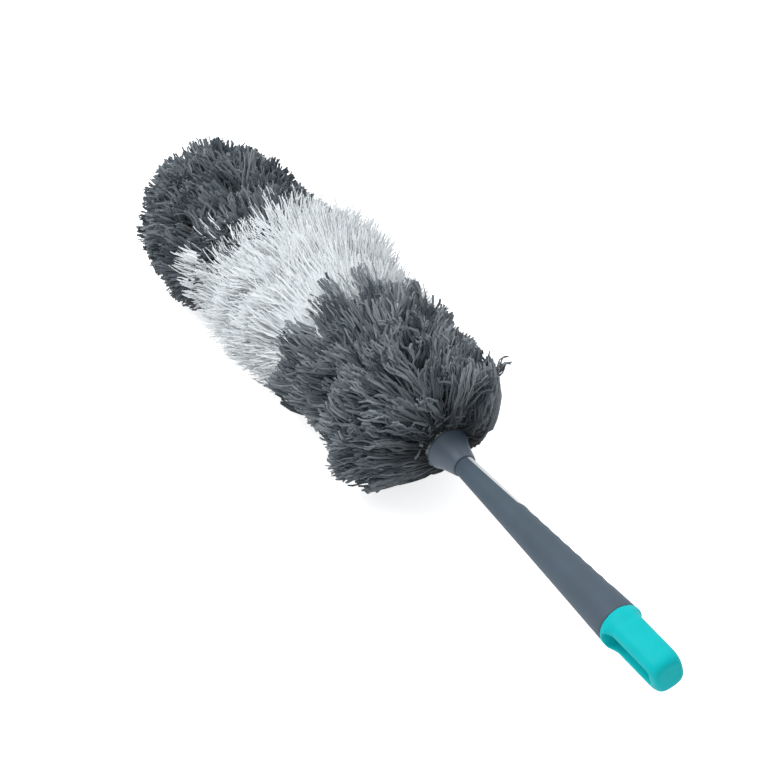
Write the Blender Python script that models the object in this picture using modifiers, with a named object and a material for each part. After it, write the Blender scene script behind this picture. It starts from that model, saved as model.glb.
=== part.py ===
"""Extendable microfibre duster, lying on its pile.

Units are metres and +Z is up. The long axis lies along X at AXIS_HEIGHT, the
hanging loop at the +X end. Stations along it are written as u, measured from
the seam between the neck collar and the grip: the handle has u above 0, the
head below. Turned pieces are drawn about their own Z, which is u.
"""
import math

import bmesh
import bpy
from mathutils import Matrix, Vector

# Fits
GAP = 0.0003             # clearance between neighbouring pieces
SEAM = 0.0003            # from each side of a visible seam to its station

# How it lies
AXIS_HEIGHT = 0.070      # handle axis above the surface, pile pressed flat
ROLL = math.radians(16.5)   # thumb side, turned up from level
FLOOR_CUT = 0.0005       # pile cut flat where it stands

# Grip and the hard core under it
GRIP_LENGTH = 0.207
NECK_RADIUS = 0.00875
BUTT_RADIUS = 0.0170
GRIP_WAIST = 0.0011      # how far the flanks are drawn in
GRIP_WALL_NECK = 0.0009
GRIP_WALL_BUTT = 0.0024
CORE_WALL = 0.0016
CORE_LIP = 0.0046        # front lip that keeps the bush in
CORE_SOCKET = 0.045      # length of the close bore round the guide tube

# Thumb window in the grip, filled by a raised tongue of the core
WINDOW_LENGTH = 0.071
WINDOW_ANGLE = math.radians(68)
WINDOW_PLAY = 0.00045    # between the tongue and the window's edge
TONGUE_RECESS = 0.0004

# Scalloped finger ribs on the thumb side
RIB_START = 0.0736
RIB_PITCH = 0.0134
RIB_COUNT = 8
RIB_DEPTH = 0.00045
RIB_SPREAD = math.radians(70)

# Hanging loop
CAP_RADIUS = 0.0175
CAP_EDGE = 0.0003
CAP_LENGTH = 0.061
CAP_RING = 0.0046
CAP_NECK_LENGTH = 0.0100   # from the ring to the flat-sided loop
LOOP_HALF_WIDTH = 0.0127
LOOP_HALF_HEIGHT = 0.0163
LOOP_TAPER = 0.0008
LOOP_ROUND = 0.0070        # rounding of the loop's end
SLOT_HALF_HEIGHT = 0.0074
SLOT_START = 0.0034        # from the seam
SLOT_LENGTH = 0.0500
SLOT_CORNER = 0.0052
SLOT_CHAMFER = 0.0011      # round the slot's two mouths
SPIGOT_LENGTH = 0.012
SPIGOT_WALL = 0.0020

# Telescopic pole
POLE_RADIUS = 0.0048
POLE_WALL = 0.00045
POLE_REST_ROOM = 0.0019  # from the lock to the rear stop, pole pushed in
GUIDE_WALL = 0.0004
GUIDE_REAR_ROOM = 0.0030 # from the guide tube to the end cap's spigot
BUSH_WALL = 0.00055
BUSH_FLANGE = 0.0025
BUSH_LENGTH = 0.022
STOP_DEPTH = 0.0025
STOP_HEAD = 0.0018
SEAT_LENGTH = 0.007
SEAT_SETBACK = 0.012     # from the guide tube's end
SEAT_HOLE_RADIUS = 0.0013
SEAT_HOLES = 6

# Twist lock on the end of the pole
PLUG_DEPTH = 0.012
PLUG_FLANGE = 0.0018
JOURNAL_RADIUS = 0.0027
JOURNAL_THROW = 0.0006
JOURNAL_LENGTH = 0.010
CAM_PLAY = 0.00061         # the ring's bore over the journal
CAM_SLIT = 0.0012
WASHER_RADIUS = 0.0044
WASHER_THICKNESS = 0.0010
SCREW_RADIUS = 0.0012
SCREW_HEAD_RADIUS = 0.0026
SCREW_HEAD = 0.0016
SCREW_DEPTH = 0.008

# Neck collar
COLLAR_LENGTH = 0.0245
COLLAR_EDGE_RADIUS = 0.0099
COLLAR_SLOPE = 0.27
COLLAR_FLARE = 0.0014
COLLAR_FLARE_START = 0.014
COLLAR_WALL = 0.0017
HUB_RADIUS = 0.0092
HUB_LENGTH = 0.050
POLE_IN_HUB = 0.038
PIN_RADIUS = 0.0012
PIN_STATION = 0.031

# Head
HEAD_LENGTH = 0.493
TUBE_WALL = 0.0018
FOAM_RADIUS = 0.0174
BACKING_RADIUS = 0.0200
HEM_WIDTH = 0.0031
HEM_RADIUS = 0.0186
CORE_CYLINDER_END = 0.412
PILE_RADIUS = 0.079
MIDDLE_SWELL = 0.004     # extra radius half way along the middle band
FIRST_ROWS = ((66.0, 0.065), (63.0, 0.072), (60.0, 0.077))   # lean, radius
BASE_END = 0.142
MIDDLE_END = 0.307
BASE_ROWS = 7
MIDDLE_ROWS = 10
TIP_ROWS = 6
CELLS = 30               # round the backing, every second one with a tuft
TUFT_LEAN = math.radians(57)
TUFT_CURL = math.radians(15)
TUFT_WIDTH = 0.0145
TUFT_THICKNESS = 0.0080
TUFT_TIP_WIDTH = 0.0085
TUFT_TIP_THICKNESS = 0.0036
TUFT_VARIATION = 0.06
CORE_LATITUDES = (0.0, 24.0, 48.0, 70.0)
DOME_LATITUDES = (0.0, 27.0, 51.0, 71.0)
DOME_LEANS = (45.0, 26.0, 4.0)

CAP_END = GRIP_LENGTH + CAP_LENGTH
X_OF_SEAM = (HEAD_LENGTH - CAP_END) / 2
GUIDE_INNER = POLE_RADIUS + GAP + BUSH_WALL + GAP
GUIDE_OUTER = GUIDE_INNER + GUIDE_WALL
GUIDE_START = SEAM + CORE_LIP + GAP + BUSH_FLANGE + GAP
GUIDE_END = GRIP_LENGTH - SPIGOT_LENGTH - GUIDE_REAR_ROOM
SEAT_START = GUIDE_END - SEAT_SETBACK
LOCK_LENGTH = PLUG_FLANGE + JOURNAL_LENGTH + WASHER_THICKNESS + SCREW_HEAD + 4 * GAP
POLE_IN_HANDLE = GUIDE_END - STOP_DEPTH - POLE_REST_ROOM - LOCK_LENGTH
TUBE_INNER = HUB_RADIUS + GAP
TUBE_OUTER = TUBE_INNER + TUBE_WALL


def clear_scene():
    for old in list(bpy.data.objects):
        bpy.data.objects.remove(old)
    for name, hidden in (("microfibre_duster", False), ("cutters", True)):
        group = bpy.data.collections.new(name)
        bpy.context.scene.collection.children.link(group)
        group.hide_render = hidden


def linear(channel):
    c = channel / 255.0
    return c / 12.92 if c <= 0.04045 else ((c + 0.055) / 1.055) ** 2.4


def material(name, rgb, roughness, metallic=0.0):
    made = bpy.data.materials.new(name)
    made.use_nodes = True
    shader = made.node_tree.nodes["Principled BSDF"]
    colour = [linear(c) for c in rgb] + [1.0]
    shader.inputs["Base Color"].default_value = colour
    shader.inputs["Roughness"].default_value = roughness
    shader.inputs["Metallic"].default_value = metallic
    made.diffuse_color = colour
    return made


def frame(name, roll):
    """Empty on the long axis, its Z along u and its Y on the thumb side."""
    empty = bpy.data.objects.new(name, None)
    bpy.data.collections["microfibre_duster"].objects.link(empty)
    s, c = math.sin(roll), math.cos(roll)
    turn = Matrix(((0, 0, 1, 0), (s, c, 0, 0), (-c, s, 0, 0), (0, 0, 0, 1)))
    empty.matrix_world = Matrix.Translation((X_OF_SEAM, 0, AXIS_HEIGHT)) @ turn
    return empty


def add(name, mesh, parent, finish=None, u=0.0, x=0.0):
    """Object in its parent's frame; without a finish it is a cutter."""
    thing = bpy.data.objects.new(name, mesh)
    home = "microfibre_duster" if finish else "cutters"
    bpy.data.collections[home].objects.link(thing)
    thing.parent = parent
    thing.location = (x, 0.0, u)
    if finish:
        mesh.materials.append(finish)
    else:
        thing.hide_render = True
        thing.display_type = "WIRE"
    return thing


def turned(name, outline, parent, finish=None, steps=32, closed=True, u=0.0, x=0.0):
    """Turn (u, radius) points, listed down the outer side first, about u."""
    mesh = bpy.data.meshes.new(name)
    count = len(outline)
    edges = [(i, (i + 1) % count) for i in range(count if closed else count - 1)]
    mesh.from_pydata([(r, 0.0, z) for z, r in outline], edges, [])
    thing = add(name, mesh, parent, finish, u, x)
    screw = thing.modifiers.new("turn", "SCREW")
    screw.axis = "Z"
    screw.angle = 2 * math.pi
    screw.steps = screw.render_steps = steps
    screw.use_merge_vertices = True
    screw.merge_threshold = 0.00001
    screw.use_smooth_shade = True
    return thing


def ring(outer, inner):
    """Closed outline from outer and inner (u, radius) lists, both rising."""
    return list(reversed(outer)) + list(inner)


def boolean(thing, other, operation="DIFFERENCE"):
    cut = thing.modifiers.new(other.name, "BOOLEAN")
    cut.operation = operation
    cut.solver = "EXACT"
    cut.object = other


def settle_modifiers(thing):
    """Swap an object's mesh for what its modifiers make of it."""
    bpy.context.view_layer.update()
    seen = thing.evaluated_get(bpy.context.evaluated_depsgraph_get())
    mesh = bpy.data.meshes.new_from_object(seen)
    old = thing.data
    thing.modifiers.clear()
    thing.data = mesh
    bpy.data.meshes.remove(old)
    return mesh


def lofted(name, rings, parent, finish=None):
    """Skin rings of equal point counts, with flat ends."""
    bm = bmesh.new()
    rows = [[bm.verts.new(p) for p in loop] for loop in rings]
    count = len(rows[0])
    for low, high in zip(rows, rows[1:]):
        for i in range(count):
            j = (i + 1) % count
            bm.faces.new((low[i], low[j], high[j], high[i]))
    bm.faces.new(rows[0])
    bm.faces.new(rows[-1])
    bmesh.ops.recalc_face_normals(bm, faces=bm.faces)
    mesh = bpy.data.meshes.new(name)
    bm.to_mesh(mesh)
    bm.free()
    return add(name, mesh, parent, finish)


def block(name, size, parent, centre, matrix=None):
    """Box-shaped cutter."""
    bm = bmesh.new()
    bmesh.ops.create_cube(bm, size=1.0)
    bmesh.ops.scale(bm, vec=size, verts=bm.verts)
    mesh = bpy.data.meshes.new(name)
    bm.to_mesh(mesh)
    bm.free()
    thing = add(name, mesh, parent)
    thing.location = centre
    return thing


def rod(name, radius, length, parent, finish, centre, across, sides=16):
    """Round bar along Z, or along X where it lies across the axis."""
    bm = bmesh.new()
    bmesh.ops.create_cone(bm, cap_ends=True, segments=sides, radius1=radius,
                          radius2=radius, depth=length)
    mesh = bpy.data.meshes.new(name)
    bm.to_mesh(mesh)
    bm.free()
    thing = add(name, mesh, parent, finish)
    thing.location = centre
    if across:
        thing.rotation_euler = (0.0, math.pi / 2, 0.0)
    return thing


# Handle profiles, all from one taper

def grip_radius(u):
    t = u / GRIP_LENGTH
    taper = NECK_RADIUS + (BUTT_RADIUS - NECK_RADIUS) * t
    return taper - GRIP_WAIST * t * (1 - t)


def grip_bore(u):
    t = u / GRIP_LENGTH
    return grip_radius(u) - GRIP_WALL_NECK - (GRIP_WALL_BUTT - GRIP_WALL_NECK) * t


def core_radius(u):
    return grip_bore(u) - GAP


def core_bore(u):
    return core_radius(u) - CORE_WALL


def stations(start, end, count):
    return [start + (end - start) * i / count for i in range(count + 1)]


def wedge(name, angle, length, parent):
    """Radial cutter with an elliptic tongue outline on the thumb side."""
    rings = []
    near = NECK_RADIUS - 0.0027
    far = NECK_RADIUS + 0.0113
    for i in range(-1, 15):
        turn = math.pi / 2 * min(max(i, 0) / 14.0, 0.985)
        half = angle * math.cos(turn)
        u = length * math.sin(turn) if i >= 0 else -0.002
        loop = []
        for radius, sign in ((near, -1), (far, -1), (far, 0), (far, 1), (near, 1)):
            loop.append((radius * math.sin(sign * half), radius * math.cos(half * sign), u))
        rings.append(loop)
    return lofted(name, rings, parent)


def rib_drop(u, angle):
    """How far the thumb side is scooped at a station and an angle from it."""
    place = (u - RIB_START) / RIB_PITCH
    if not 0 <= place <= RIB_COUNT or abs(angle) >= RIB_SPREAD:
        return 0.0
    scoop = abs(math.sin(math.pi * place))
    return RIB_DEPTH * scoop * math.cos(angle / RIB_SPREAD * math.pi / 2)


def make_grip(parent, finish):
    start, end = SEAM, GRIP_LENGTH
    marks = stations(start, RIB_START - RIB_PITCH / 2, 4)
    marks += stations(RIB_START, RIB_START + RIB_PITCH * RIB_COUNT, RIB_COUNT * 3)
    marks += [(marks[-1] + end) / 2, end]
    outer = [(u, grip_radius(u)) for u in marks]
    inner = [(u, grip_bore(u)) for u in stations(start, end, 5)]
    grip = turned("grip_sleeve", ring(outer, inner), parent, finish)
    mesh = settle_modifiers(grip)
    for vertex in mesh.vertices:
        x, y, u = vertex.co
        radius = math.hypot(x, y)
        if radius < grip_radius(u) - GRIP_WALL_NECK / 2:
            continue
        drop = rib_drop(u, math.atan2(x, y))
        vertex.co.x -= x / radius * drop
        vertex.co.y -= y / radius * drop
    boolean(grip, wedge("window_cut", WINDOW_ANGLE, WINDOW_LENGTH, parent))
    return grip


def make_core(parent, finish):
    """Hard taper under the grip, with the tongue that fills the window."""
    start, end = SEAM, GRIP_LENGTH
    mouth = POLE_RADIUS + GAP + 0.0001
    socket = GUIDE_OUTER + GAP
    lip = start + CORE_LIP
    outer = [(u, core_radius(u)) for u in stations(start, end, 6)]
    open_at = CORE_SOCKET + 0.012
    inner = [(start, mouth), (lip, mouth), (lip, socket), (CORE_SOCKET, socket)]
    inner += [(u, core_bore(u)) for u in stations(open_at, end, 4)]
    core = turned("handle_core", ring(outer, inner), parent, finish)
    marks = stations(start, WINDOW_LENGTH + 0.004, 4)
    high = [(u, grip_radius(u) - TONGUE_RECESS) for u in marks]
    low = [(u, core_radius(u) - GRIP_WALL_NECK / 2) for u in (marks[0], marks[-1])]
    tongue = turned("tongue", ring(high, low), parent)
    edge = wedge("tongue_edge", WINDOW_ANGLE - WINDOW_PLAY / NECK_RADIUS,
                 WINDOW_LENGTH - WINDOW_PLAY * 1.5, parent)
    boolean(tongue, edge, "INTERSECT")
    boolean(core, tongue, "UNION")
    return core


def loop_section(u, half_width, half_height, power, count=40):
    """Superellipse, wide way on the strap side (X)."""
    loop = []
    for i in range(count):
        a = 2 * math.pi * i / count
        c, s = math.cos(a), math.sin(a)
        x = math.copysign(abs(c) ** (2 / power), c) * half_height
        y = math.copysign(abs(s) ** (2 / power), s) * half_width
        loop.append((x, y, u))
    return loop


def ease(t):
    return t * t * (3 - 2 * t)


def make_cap(parent, finish):
    """Ring at the seam, easing into a flat-sided loop with a rounded end."""
    start = GRIP_LENGTH + SEAM
    ring_end = start + CAP_RING
    neck_end = ring_end + CAP_NECK_LENGTH
    round_start = CAP_END - LOOP_ROUND
    rings = [loop_section(start, BUTT_RADIUS - CAP_EDGE, BUTT_RADIUS - CAP_EDGE, 2.0)]
    rings.append(loop_section(start + 0.0006, BUTT_RADIUS + 0.0002, BUTT_RADIUS + 0.0002, 2.0))
    rings.append(loop_section(ring_end, CAP_RADIUS, CAP_RADIUS, 2.0))
    for i in range(1, 8):
        t = i / 7
        width = CAP_RADIUS + (LOOP_HALF_WIDTH - CAP_RADIUS) * math.sin(t * math.pi / 2) ** 0.9
        height = CAP_RADIUS + (LOOP_HALF_HEIGHT - CAP_RADIUS) * ease(t)
        u = ring_end + (neck_end - ring_end) * t
        rings.append(loop_section(u, width, height, 2.0 + 1.6 * t))
    width = LOOP_HALF_WIDTH
    height = LOOP_HALF_HEIGHT - LOOP_TAPER
    rings.append(loop_section(round_start, width, height, 3.6))
    for angle in (25, 50, 70, 84):
        a = math.radians(angle)
        inset = LOOP_ROUND * (1 - math.cos(a))
        u = round_start + (LOOP_ROUND - 0.0004) * math.sin(a)
        rings.append(loop_section(u, width - inset, height - inset, 3.6))
    inset = LOOP_ROUND + 0.0008
    rings.append(loop_section(CAP_END, width - inset, height - inset, 3.0))
    cap = lofted("end_cap", rings, parent, finish)
    spigot_radius = core_bore(GRIP_LENGTH - SPIGOT_LENGTH) - GAP
    low = GRIP_LENGTH - SPIGOT_LENGTH
    spigot = turned("spigot", ring([(low, spigot_radius), (start + 0.002, spigot_radius)],
                                   [(low, spigot_radius - SPIGOT_WALL),
                                    (start + 0.002, spigot_radius - SPIGOT_WALL)]),
                    parent, steps=36)
    boolean(cap, spigot, "UNION")
    boolean(cap, slot_cutter(parent))
    return cap


def slot_outline(grow):
    """Rounded outline of the slot in (X, u), grown evenly by a margin."""
    low = GRIP_LENGTH + SLOT_START - grow
    high = GRIP_LENGTH + SLOT_START + SLOT_LENGTH + grow
    corner = SLOT_CORNER + grow
    points = []
    for turn, x_sign, u in ((0, 1, high), (90, -1, high), (180, -1, low), (270, 1, low)):
        x = x_sign * (SLOT_HALF_HEIGHT + grow - corner)
        middle = u - corner if u == high else u + corner
        for step in range(5):
            a = math.radians(turn + 90 * step / 4)
            points.append((x + corner * math.cos(a), middle + corner * math.sin(a)))
    return points


def slot_cutter(parent):
    """Prism through the loop from side to side, wider at its two mouths."""
    reach = CAP_RADIUS + 0.004
    face = LOOP_HALF_WIDTH
    throat = face - SLOT_CHAMFER
    half = ((throat, 0.0), (face, SLOT_CHAMFER), (reach, SLOT_CHAMFER))
    sides = [(-side, grow) for side, grow in reversed(half)] + list(half)
    rings = [[(x, side, u) for x, u in slot_outline(grow)] for side, grow in sides]
    return lofted("slot_cut", rings, parent)


def make_guide(parent, steel, nylon):
    """Fixed tube, its bush at the mouth, and its seat and stop at the back."""
    end = GUIDE_END
    guide = [(GUIDE_START, GUIDE_OUTER), (end, GUIDE_OUTER)]
    bore = [(GUIDE_START, GUIDE_INNER), (end, GUIDE_INNER)]
    turned("guide_tube", ring(guide, bore), parent, steel, steps=32)
    front = SEAM + CORE_LIP + GAP
    flange = front + BUSH_FLANGE
    sleeve = GUIDE_INNER - GAP
    bush = [(front, GUIDE_OUTER), (flange, GUIDE_OUTER), (flange, sleeve),
            (flange + BUSH_LENGTH, sleeve)]
    hole = [(front, POLE_RADIUS + GAP), (flange + BUSH_LENGTH, POLE_RADIUS + GAP)]
    turned("mouth_bush", ring(bush, hole), parent, nylon, steps=32)
    seat_end = SEAT_START + SEAT_LENGTH
    rim = [(u, core_bore(u) - GAP) for u in (SEAT_START, seat_end)]
    eye = [(u, GUIDE_OUTER + GAP) for u in (SEAT_START, seat_end)]
    seat = turned("tube_seat", ring(rim, eye), parent, nylon, steps=36)
    middle = (core_bore(SEAT_START) + GUIDE_OUTER) / 2
    for i in range(SEAT_HOLES):
        a = 2 * math.pi * i / SEAT_HOLES
        centre = (middle * math.cos(a), middle * math.sin(a), (SEAT_START + seat_end) / 2)
        drill = rod("seat_drill_%d" % i, SEAT_HOLE_RADIUS, SEAT_LENGTH * 2, parent, None,
                    centre, False, 8)
        boolean(seat, drill)
    inside = end - STOP_DEPTH
    head = end + GAP
    stop = [(inside, sleeve), (head, sleeve), (head, GUIDE_OUTER), (head + STOP_HEAD, GUIDE_OUTER)]
    turned("rear_stop", [(head + STOP_HEAD, 0.0)] + list(reversed(stop)) + [(inside, 0.0)],
           parent, nylon, steps=32, closed=False)


def make_cam_ring(parent, finish):
    """Split ring round the journal, its bore off centre to one side."""
    start = POLE_IN_HANDLE + GAP + PLUG_FLANGE + GAP
    end = start + JOURNAL_LENGTH - GAP
    outside = GUIDE_INNER - GAP
    cam = turned("cam_ring", [(end, 0.0), (end, outside), (start, outside), (start, 0.0)],
                 parent, finish, steps=32, closed=False)
    middle = (start + end) / 2
    throw = JOURNAL_THROW / math.sqrt(2)
    bore = rod("cam_bore", JOURNAL_RADIUS + CAM_PLAY, JOURNAL_LENGTH * 2, parent, None,
               (throw, throw, middle), False, 32)
    boolean(cam, bore)
    slit = block("cam_slit", (outside * 2, CAM_SLIT, JOURNAL_LENGTH * 2), parent,
                 (-outside, 0.0, middle))
    boolean(cam, slit)
    return cam


def make_lock(parent, nylon, steel):
    """Plug in the pole's end with an off-centre journal, washer and screw."""
    inner = POLE_RADIUS - POLE_WALL - GAP
    low = POLE_IN_HANDLE - PLUG_DEPTH
    flange = POLE_IN_HANDLE + GAP
    top = flange + PLUG_FLANGE
    end = top + GAP + JOURNAL_LENGTH
    body = [(top, 0.0), (top, POLE_RADIUS), (flange, POLE_RADIUS), (flange, inner),
            (low, inner), (low, 0.0)]
    plug = turned("lock_plug", body, parent, nylon, steps=32, closed=False)
    journal = rod("journal", JOURNAL_RADIUS, end - top + PLUG_FLANGE / 2, parent, None,
                  (JOURNAL_THROW, 0.0, (end + top - PLUG_FLANGE / 2) / 2), False, 24)
    boolean(plug, journal, "UNION")
    hole = rod("screw_hole", SCREW_RADIUS + GAP, SCREW_DEPTH * 2, parent, None,
               (JOURNAL_THROW, 0.0, end), False, 16)
    boolean(plug, hole)
    washer_end = end + GAP + WASHER_THICKNESS
    washer = ring([(end + GAP, WASHER_RADIUS), (washer_end, WASHER_RADIUS)],
                  [(end + GAP, SCREW_RADIUS + GAP), (washer_end, SCREW_RADIUS + GAP)])
    turned("lock_washer", washer, parent, steel, steps=24, x=JOURNAL_THROW)
    head = washer_end + GAP
    tip = end - SCREW_DEPTH + GAP
    screw = [(head + SCREW_HEAD, 0.0), (head + SCREW_HEAD, SCREW_HEAD_RADIUS * 0.7),
             (head + SCREW_HEAD / 2, SCREW_HEAD_RADIUS), (head, SCREW_HEAD_RADIUS),
             (head, SCREW_RADIUS), (tip, SCREW_RADIUS), (tip, 0.0)]
    turned("lock_screw", screw, parent, steel, steps=16, closed=False, x=JOURNAL_THROW)


def collar_radius(u):
    x = -u
    flare = max(0.0, (x - COLLAR_FLARE_START) / (COLLAR_LENGTH - COLLAR_FLARE_START))
    return COLLAR_EDGE_RADIUS + COLLAR_SLOPE * x + COLLAR_FLARE * flare ** 2


def make_pole(parent, steel):
    ends = (-POLE_IN_HUB, POLE_IN_HANDLE)
    pole = turned("pole_tube", ring([(u, POLE_RADIUS) for u in ends],
                                    [(u, POLE_RADIUS - POLE_WALL) for u in ends]),
                  parent, steel, steps=32)
    boolean(pole, rod("pole_drill", PIN_RADIUS + GAP, POLE_RADIUS * 4, parent, None,
                      (0.0, 0.0, -PIN_STATION), True))


def make_collar(parent, finish, steel):
    """Bell over the end of the pile, on a hub that the pole is pinned into."""
    bore = POLE_RADIUS + GAP
    blind = -POLE_IN_HUB - GAP
    rim = -COLLAR_LENGTH
    outline = [(blind, 0.0), (blind, bore), (-SEAM, bore), (-SEAM, COLLAR_EDGE_RADIUS - 0.0005)]
    outline += [(u, collar_radius(u)) for u in stations(-SEAM - 0.0006, rim, 7)]
    lip = collar_radius(rim)
    outline += [(rim - 0.0008, lip - 0.0002), (rim - 0.0011, lip - COLLAR_WALL / 2),
                (rim - 0.0006, lip - COLLAR_WALL)]
    inside = stations(rim + 0.003, -0.011, 2)
    outline += [(u, collar_radius(u) - COLLAR_WALL) for u in inside]
    outline += [(-0.0105, HUB_RADIUS), (-HUB_LENGTH, HUB_RADIUS), (-HUB_LENGTH, 0.0)]
    collar = turned("neck_collar", outline, parent, finish, steps=36, closed=False)
    long = HUB_RADIUS * 2 - 0.001
    boolean(collar, rod("hub_drill", PIN_RADIUS + GAP, long * 2, parent, None,
                        (0.0, 0.0, -PIN_STATION), True))
    rod("collar_pin", PIN_RADIUS, long, parent, steel, (0.0, 0.0, -PIN_STATION), True)


def dome(face, radius):
    """Outline over the tip of the core, from its rim to its apex."""
    turns = [math.radians(a) for a in CORE_LATITUDES]
    curve = [(face - radius * math.sin(a), radius * math.cos(a)) for a in turns]
    return curve + [(face - radius, 0.0)]


def make_head_core(parent, plastic, foam, dark):
    """Tube over the hub, foam round it, tip plug, and the sleeve's hem."""
    start = -COLLAR_LENGTH - 0.0011 - GAP
    end = -CORE_CYLINDER_END
    turned("core_tube", ring([(end, TUBE_OUTER), (start, TUBE_OUTER)],
                             [(end, TUBE_INNER), (start, TUBE_INNER)]), parent, plastic)
    hem_end = start - HEM_WIDTH
    foam_start = hem_end - GAP
    turned("core_foam", ring([(end, FOAM_RADIUS), (foam_start, FOAM_RADIUS)],
                             [(end, TUBE_OUTER + GAP), (foam_start, TUBE_OUTER + GAP)]),
           parent, foam)
    hem = [(hem_end, HEM_RADIUS), ((start + hem_end) / 2, HEM_RADIUS + 0.0005),
           (start, HEM_RADIUS)]
    eye = [(hem_end, TUBE_OUTER + GAP), (start, TUBE_OUTER + GAP)]
    turned("sleeve_hem", ring(hem, eye), parent, dark)
    face = end - GAP
    spigot = [(end + 0.018, 0.0), (end + 0.018, TUBE_INNER - GAP), (face, TUBE_INNER - GAP)]
    turned("core_tip", spigot + dome(face, FOAM_RADIUS), parent, plastic, closed=False)
    return foam_start


def vary(row, column):
    """Even, repeatable spread from -1 to 1, alike on both flanks."""
    mirrored = min(column % CELLS, -column % CELLS)
    return math.sin(12.9898 * row + 7.233 * mirrored)


def tuft_sections(row, column, root, lean, reach):
    """Middle and tip corners of one tuft, as functions of its corner signs."""
    angle = column * 2 * math.pi / CELLS
    out = Vector((math.cos(angle), math.sin(angle), 0.0))
    side = Vector((-math.sin(angle), math.cos(angle), 0.0))
    up = Vector((0.0, 0.0, 1.0))
    spread = vary(row, column)
    length = reach / math.cos(TUFT_CURL) * (1 + TUFT_VARIATION * spread)
    centre = Vector(root)
    made = []
    shapes = ((TUFT_CURL, TUFT_WIDTH, TUFT_THICKNESS),
              (-TUFT_CURL, TUFT_TIP_WIDTH, TUFT_TIP_THICKNESS))
    for bend, width, thick in shapes:
        turn = lean + bend
        centre = centre + (out * math.sin(turn) - up * math.cos(turn)) * length / 2
        flat = out * math.cos(turn) + up * math.sin(turn)
        room = 2 * math.pi / CELLS * 2 * math.hypot(centre.x, centre.y)
        width = min(width, room * 0.74)
        made.append({(a, b): centre + side * (a * width / 2) + flat * (b * thick / 2)
                     for a in (-1, 1) for b in (-1, 1)})
    return made, side


def limit_tip(corners, last):
    """Press a tip up from the surface, and hold the end row to the length."""
    low = max(c.x for c in corners.values()) - AXIS_HEIGHT - FLOOR_CUT
    if low > 0:
        for c in corners.values():
            c.x -= low
    past = min(c.z for c in corners.values()) + HEAD_LENGTH
    if last or past < 0.001:
        for c in corners.values():
            c.z -= past if last else past - 0.001


def make_pile(name, parent, finish, edges, leans, reaches, first_row, closed_end):
    """Slice of backing with tufts drawn out of every second cell.

    edges are the (u, radius) circles between the rows, from the collar to the
    tip. Rows are staggered, so that neighbouring tufts meet only at a corner.
    """
    bore = FOAM_RADIUS + GAP
    if closed_end:
        under = dome(-CORE_CYLINDER_END - GAP, bore)
        inside = list(reversed(under)) + [(edges[0][0], bore)]
        outside = edges + [(-CORE_CYLINDER_END - BACKING_RADIUS, 0.0)]
        pile = turned(name, inside + outside, parent, finish, CELLS, closed=False)
    else:
        inside = [(edges[-1][0], bore), (edges[0][0], bore)]
        pile = turned(name, edges + inside, parent, finish, CELLS)
    mesh = settle_modifiers(pile)
    mesh.transform(Matrix.Rotation(math.pi / CELLS, 4, "Z"))
    bm = bmesh.new()
    bm.from_mesh(mesh)
    draw_tufts(bm, edges, leans, reaches, first_row, closed_end)
    bm.to_mesh(mesh)
    bm.free()
    for polygon in mesh.polygons:
        polygon.use_smooth = False
    return pile


def draw_tufts(bm, edges, leans, reaches, first_row, closed_end):
    chosen = []
    step = 2 * math.pi / CELLS
    for face in bm.faces:
        c = face.calc_center_median()
        radius = math.hypot(c.x, c.y)
        column = round(math.atan2(c.y, c.x) / step)
        for i, (near, far) in enumerate(zip(edges, edges[1:])):
            u = (near[0] + far[0]) / 2
            r = (near[1] + far[1]) / 2 * math.cos(step / 2)
            if abs(c.z - u) < 0.0004 and abs(radius - r) < 0.0006:
                if (column + i + first_row) % 2 == 0:
                    chosen.append((face, i, column % CELLS, c.copy()))
    for face, i, column, centre in chosen:
        row = first_row + i
        sections, side = tuft_sections(row, column, centre, leans[i], reaches[i])
        last = closed_end and i == len(leans) - 1
        limit_tip(sections[1], last)
        for corners in sections:
            top = bmesh.ops.extrude_discrete_faces(bm, faces=[face])["faces"][0]
            middle = top.calc_center_median()
            along = sum((v.co.z for v in top.verts), 0.0) / 4
            for v in top.verts:
                a = 1 if (v.co - middle).dot(side) > 0 else -1
                b = 1 if v.co.z > along else -1
                v.co = corners[(a, b)]
            face = top


def tuft_reach(root, lean, radius):
    """Length that takes a tip out to the pile's radius, or to its domed end."""
    u, r = root
    dome_centre = PILE_RADIUS - HEAD_LENGTH
    reach = (radius - r) / math.sin(lean)
    if u - reach * math.cos(lean) > dome_centre:
        return reach
    rise = u - dome_centre
    along = r * math.sin(lean) - rise * math.cos(lean)
    inside = r * r + rise * rise - PILE_RADIUS ** 2
    return math.sqrt(along * along - inside) - along


def middle_of(near, far):
    return (near[0] + far[0]) / 2, (near[1] + far[1]) / 2


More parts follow.
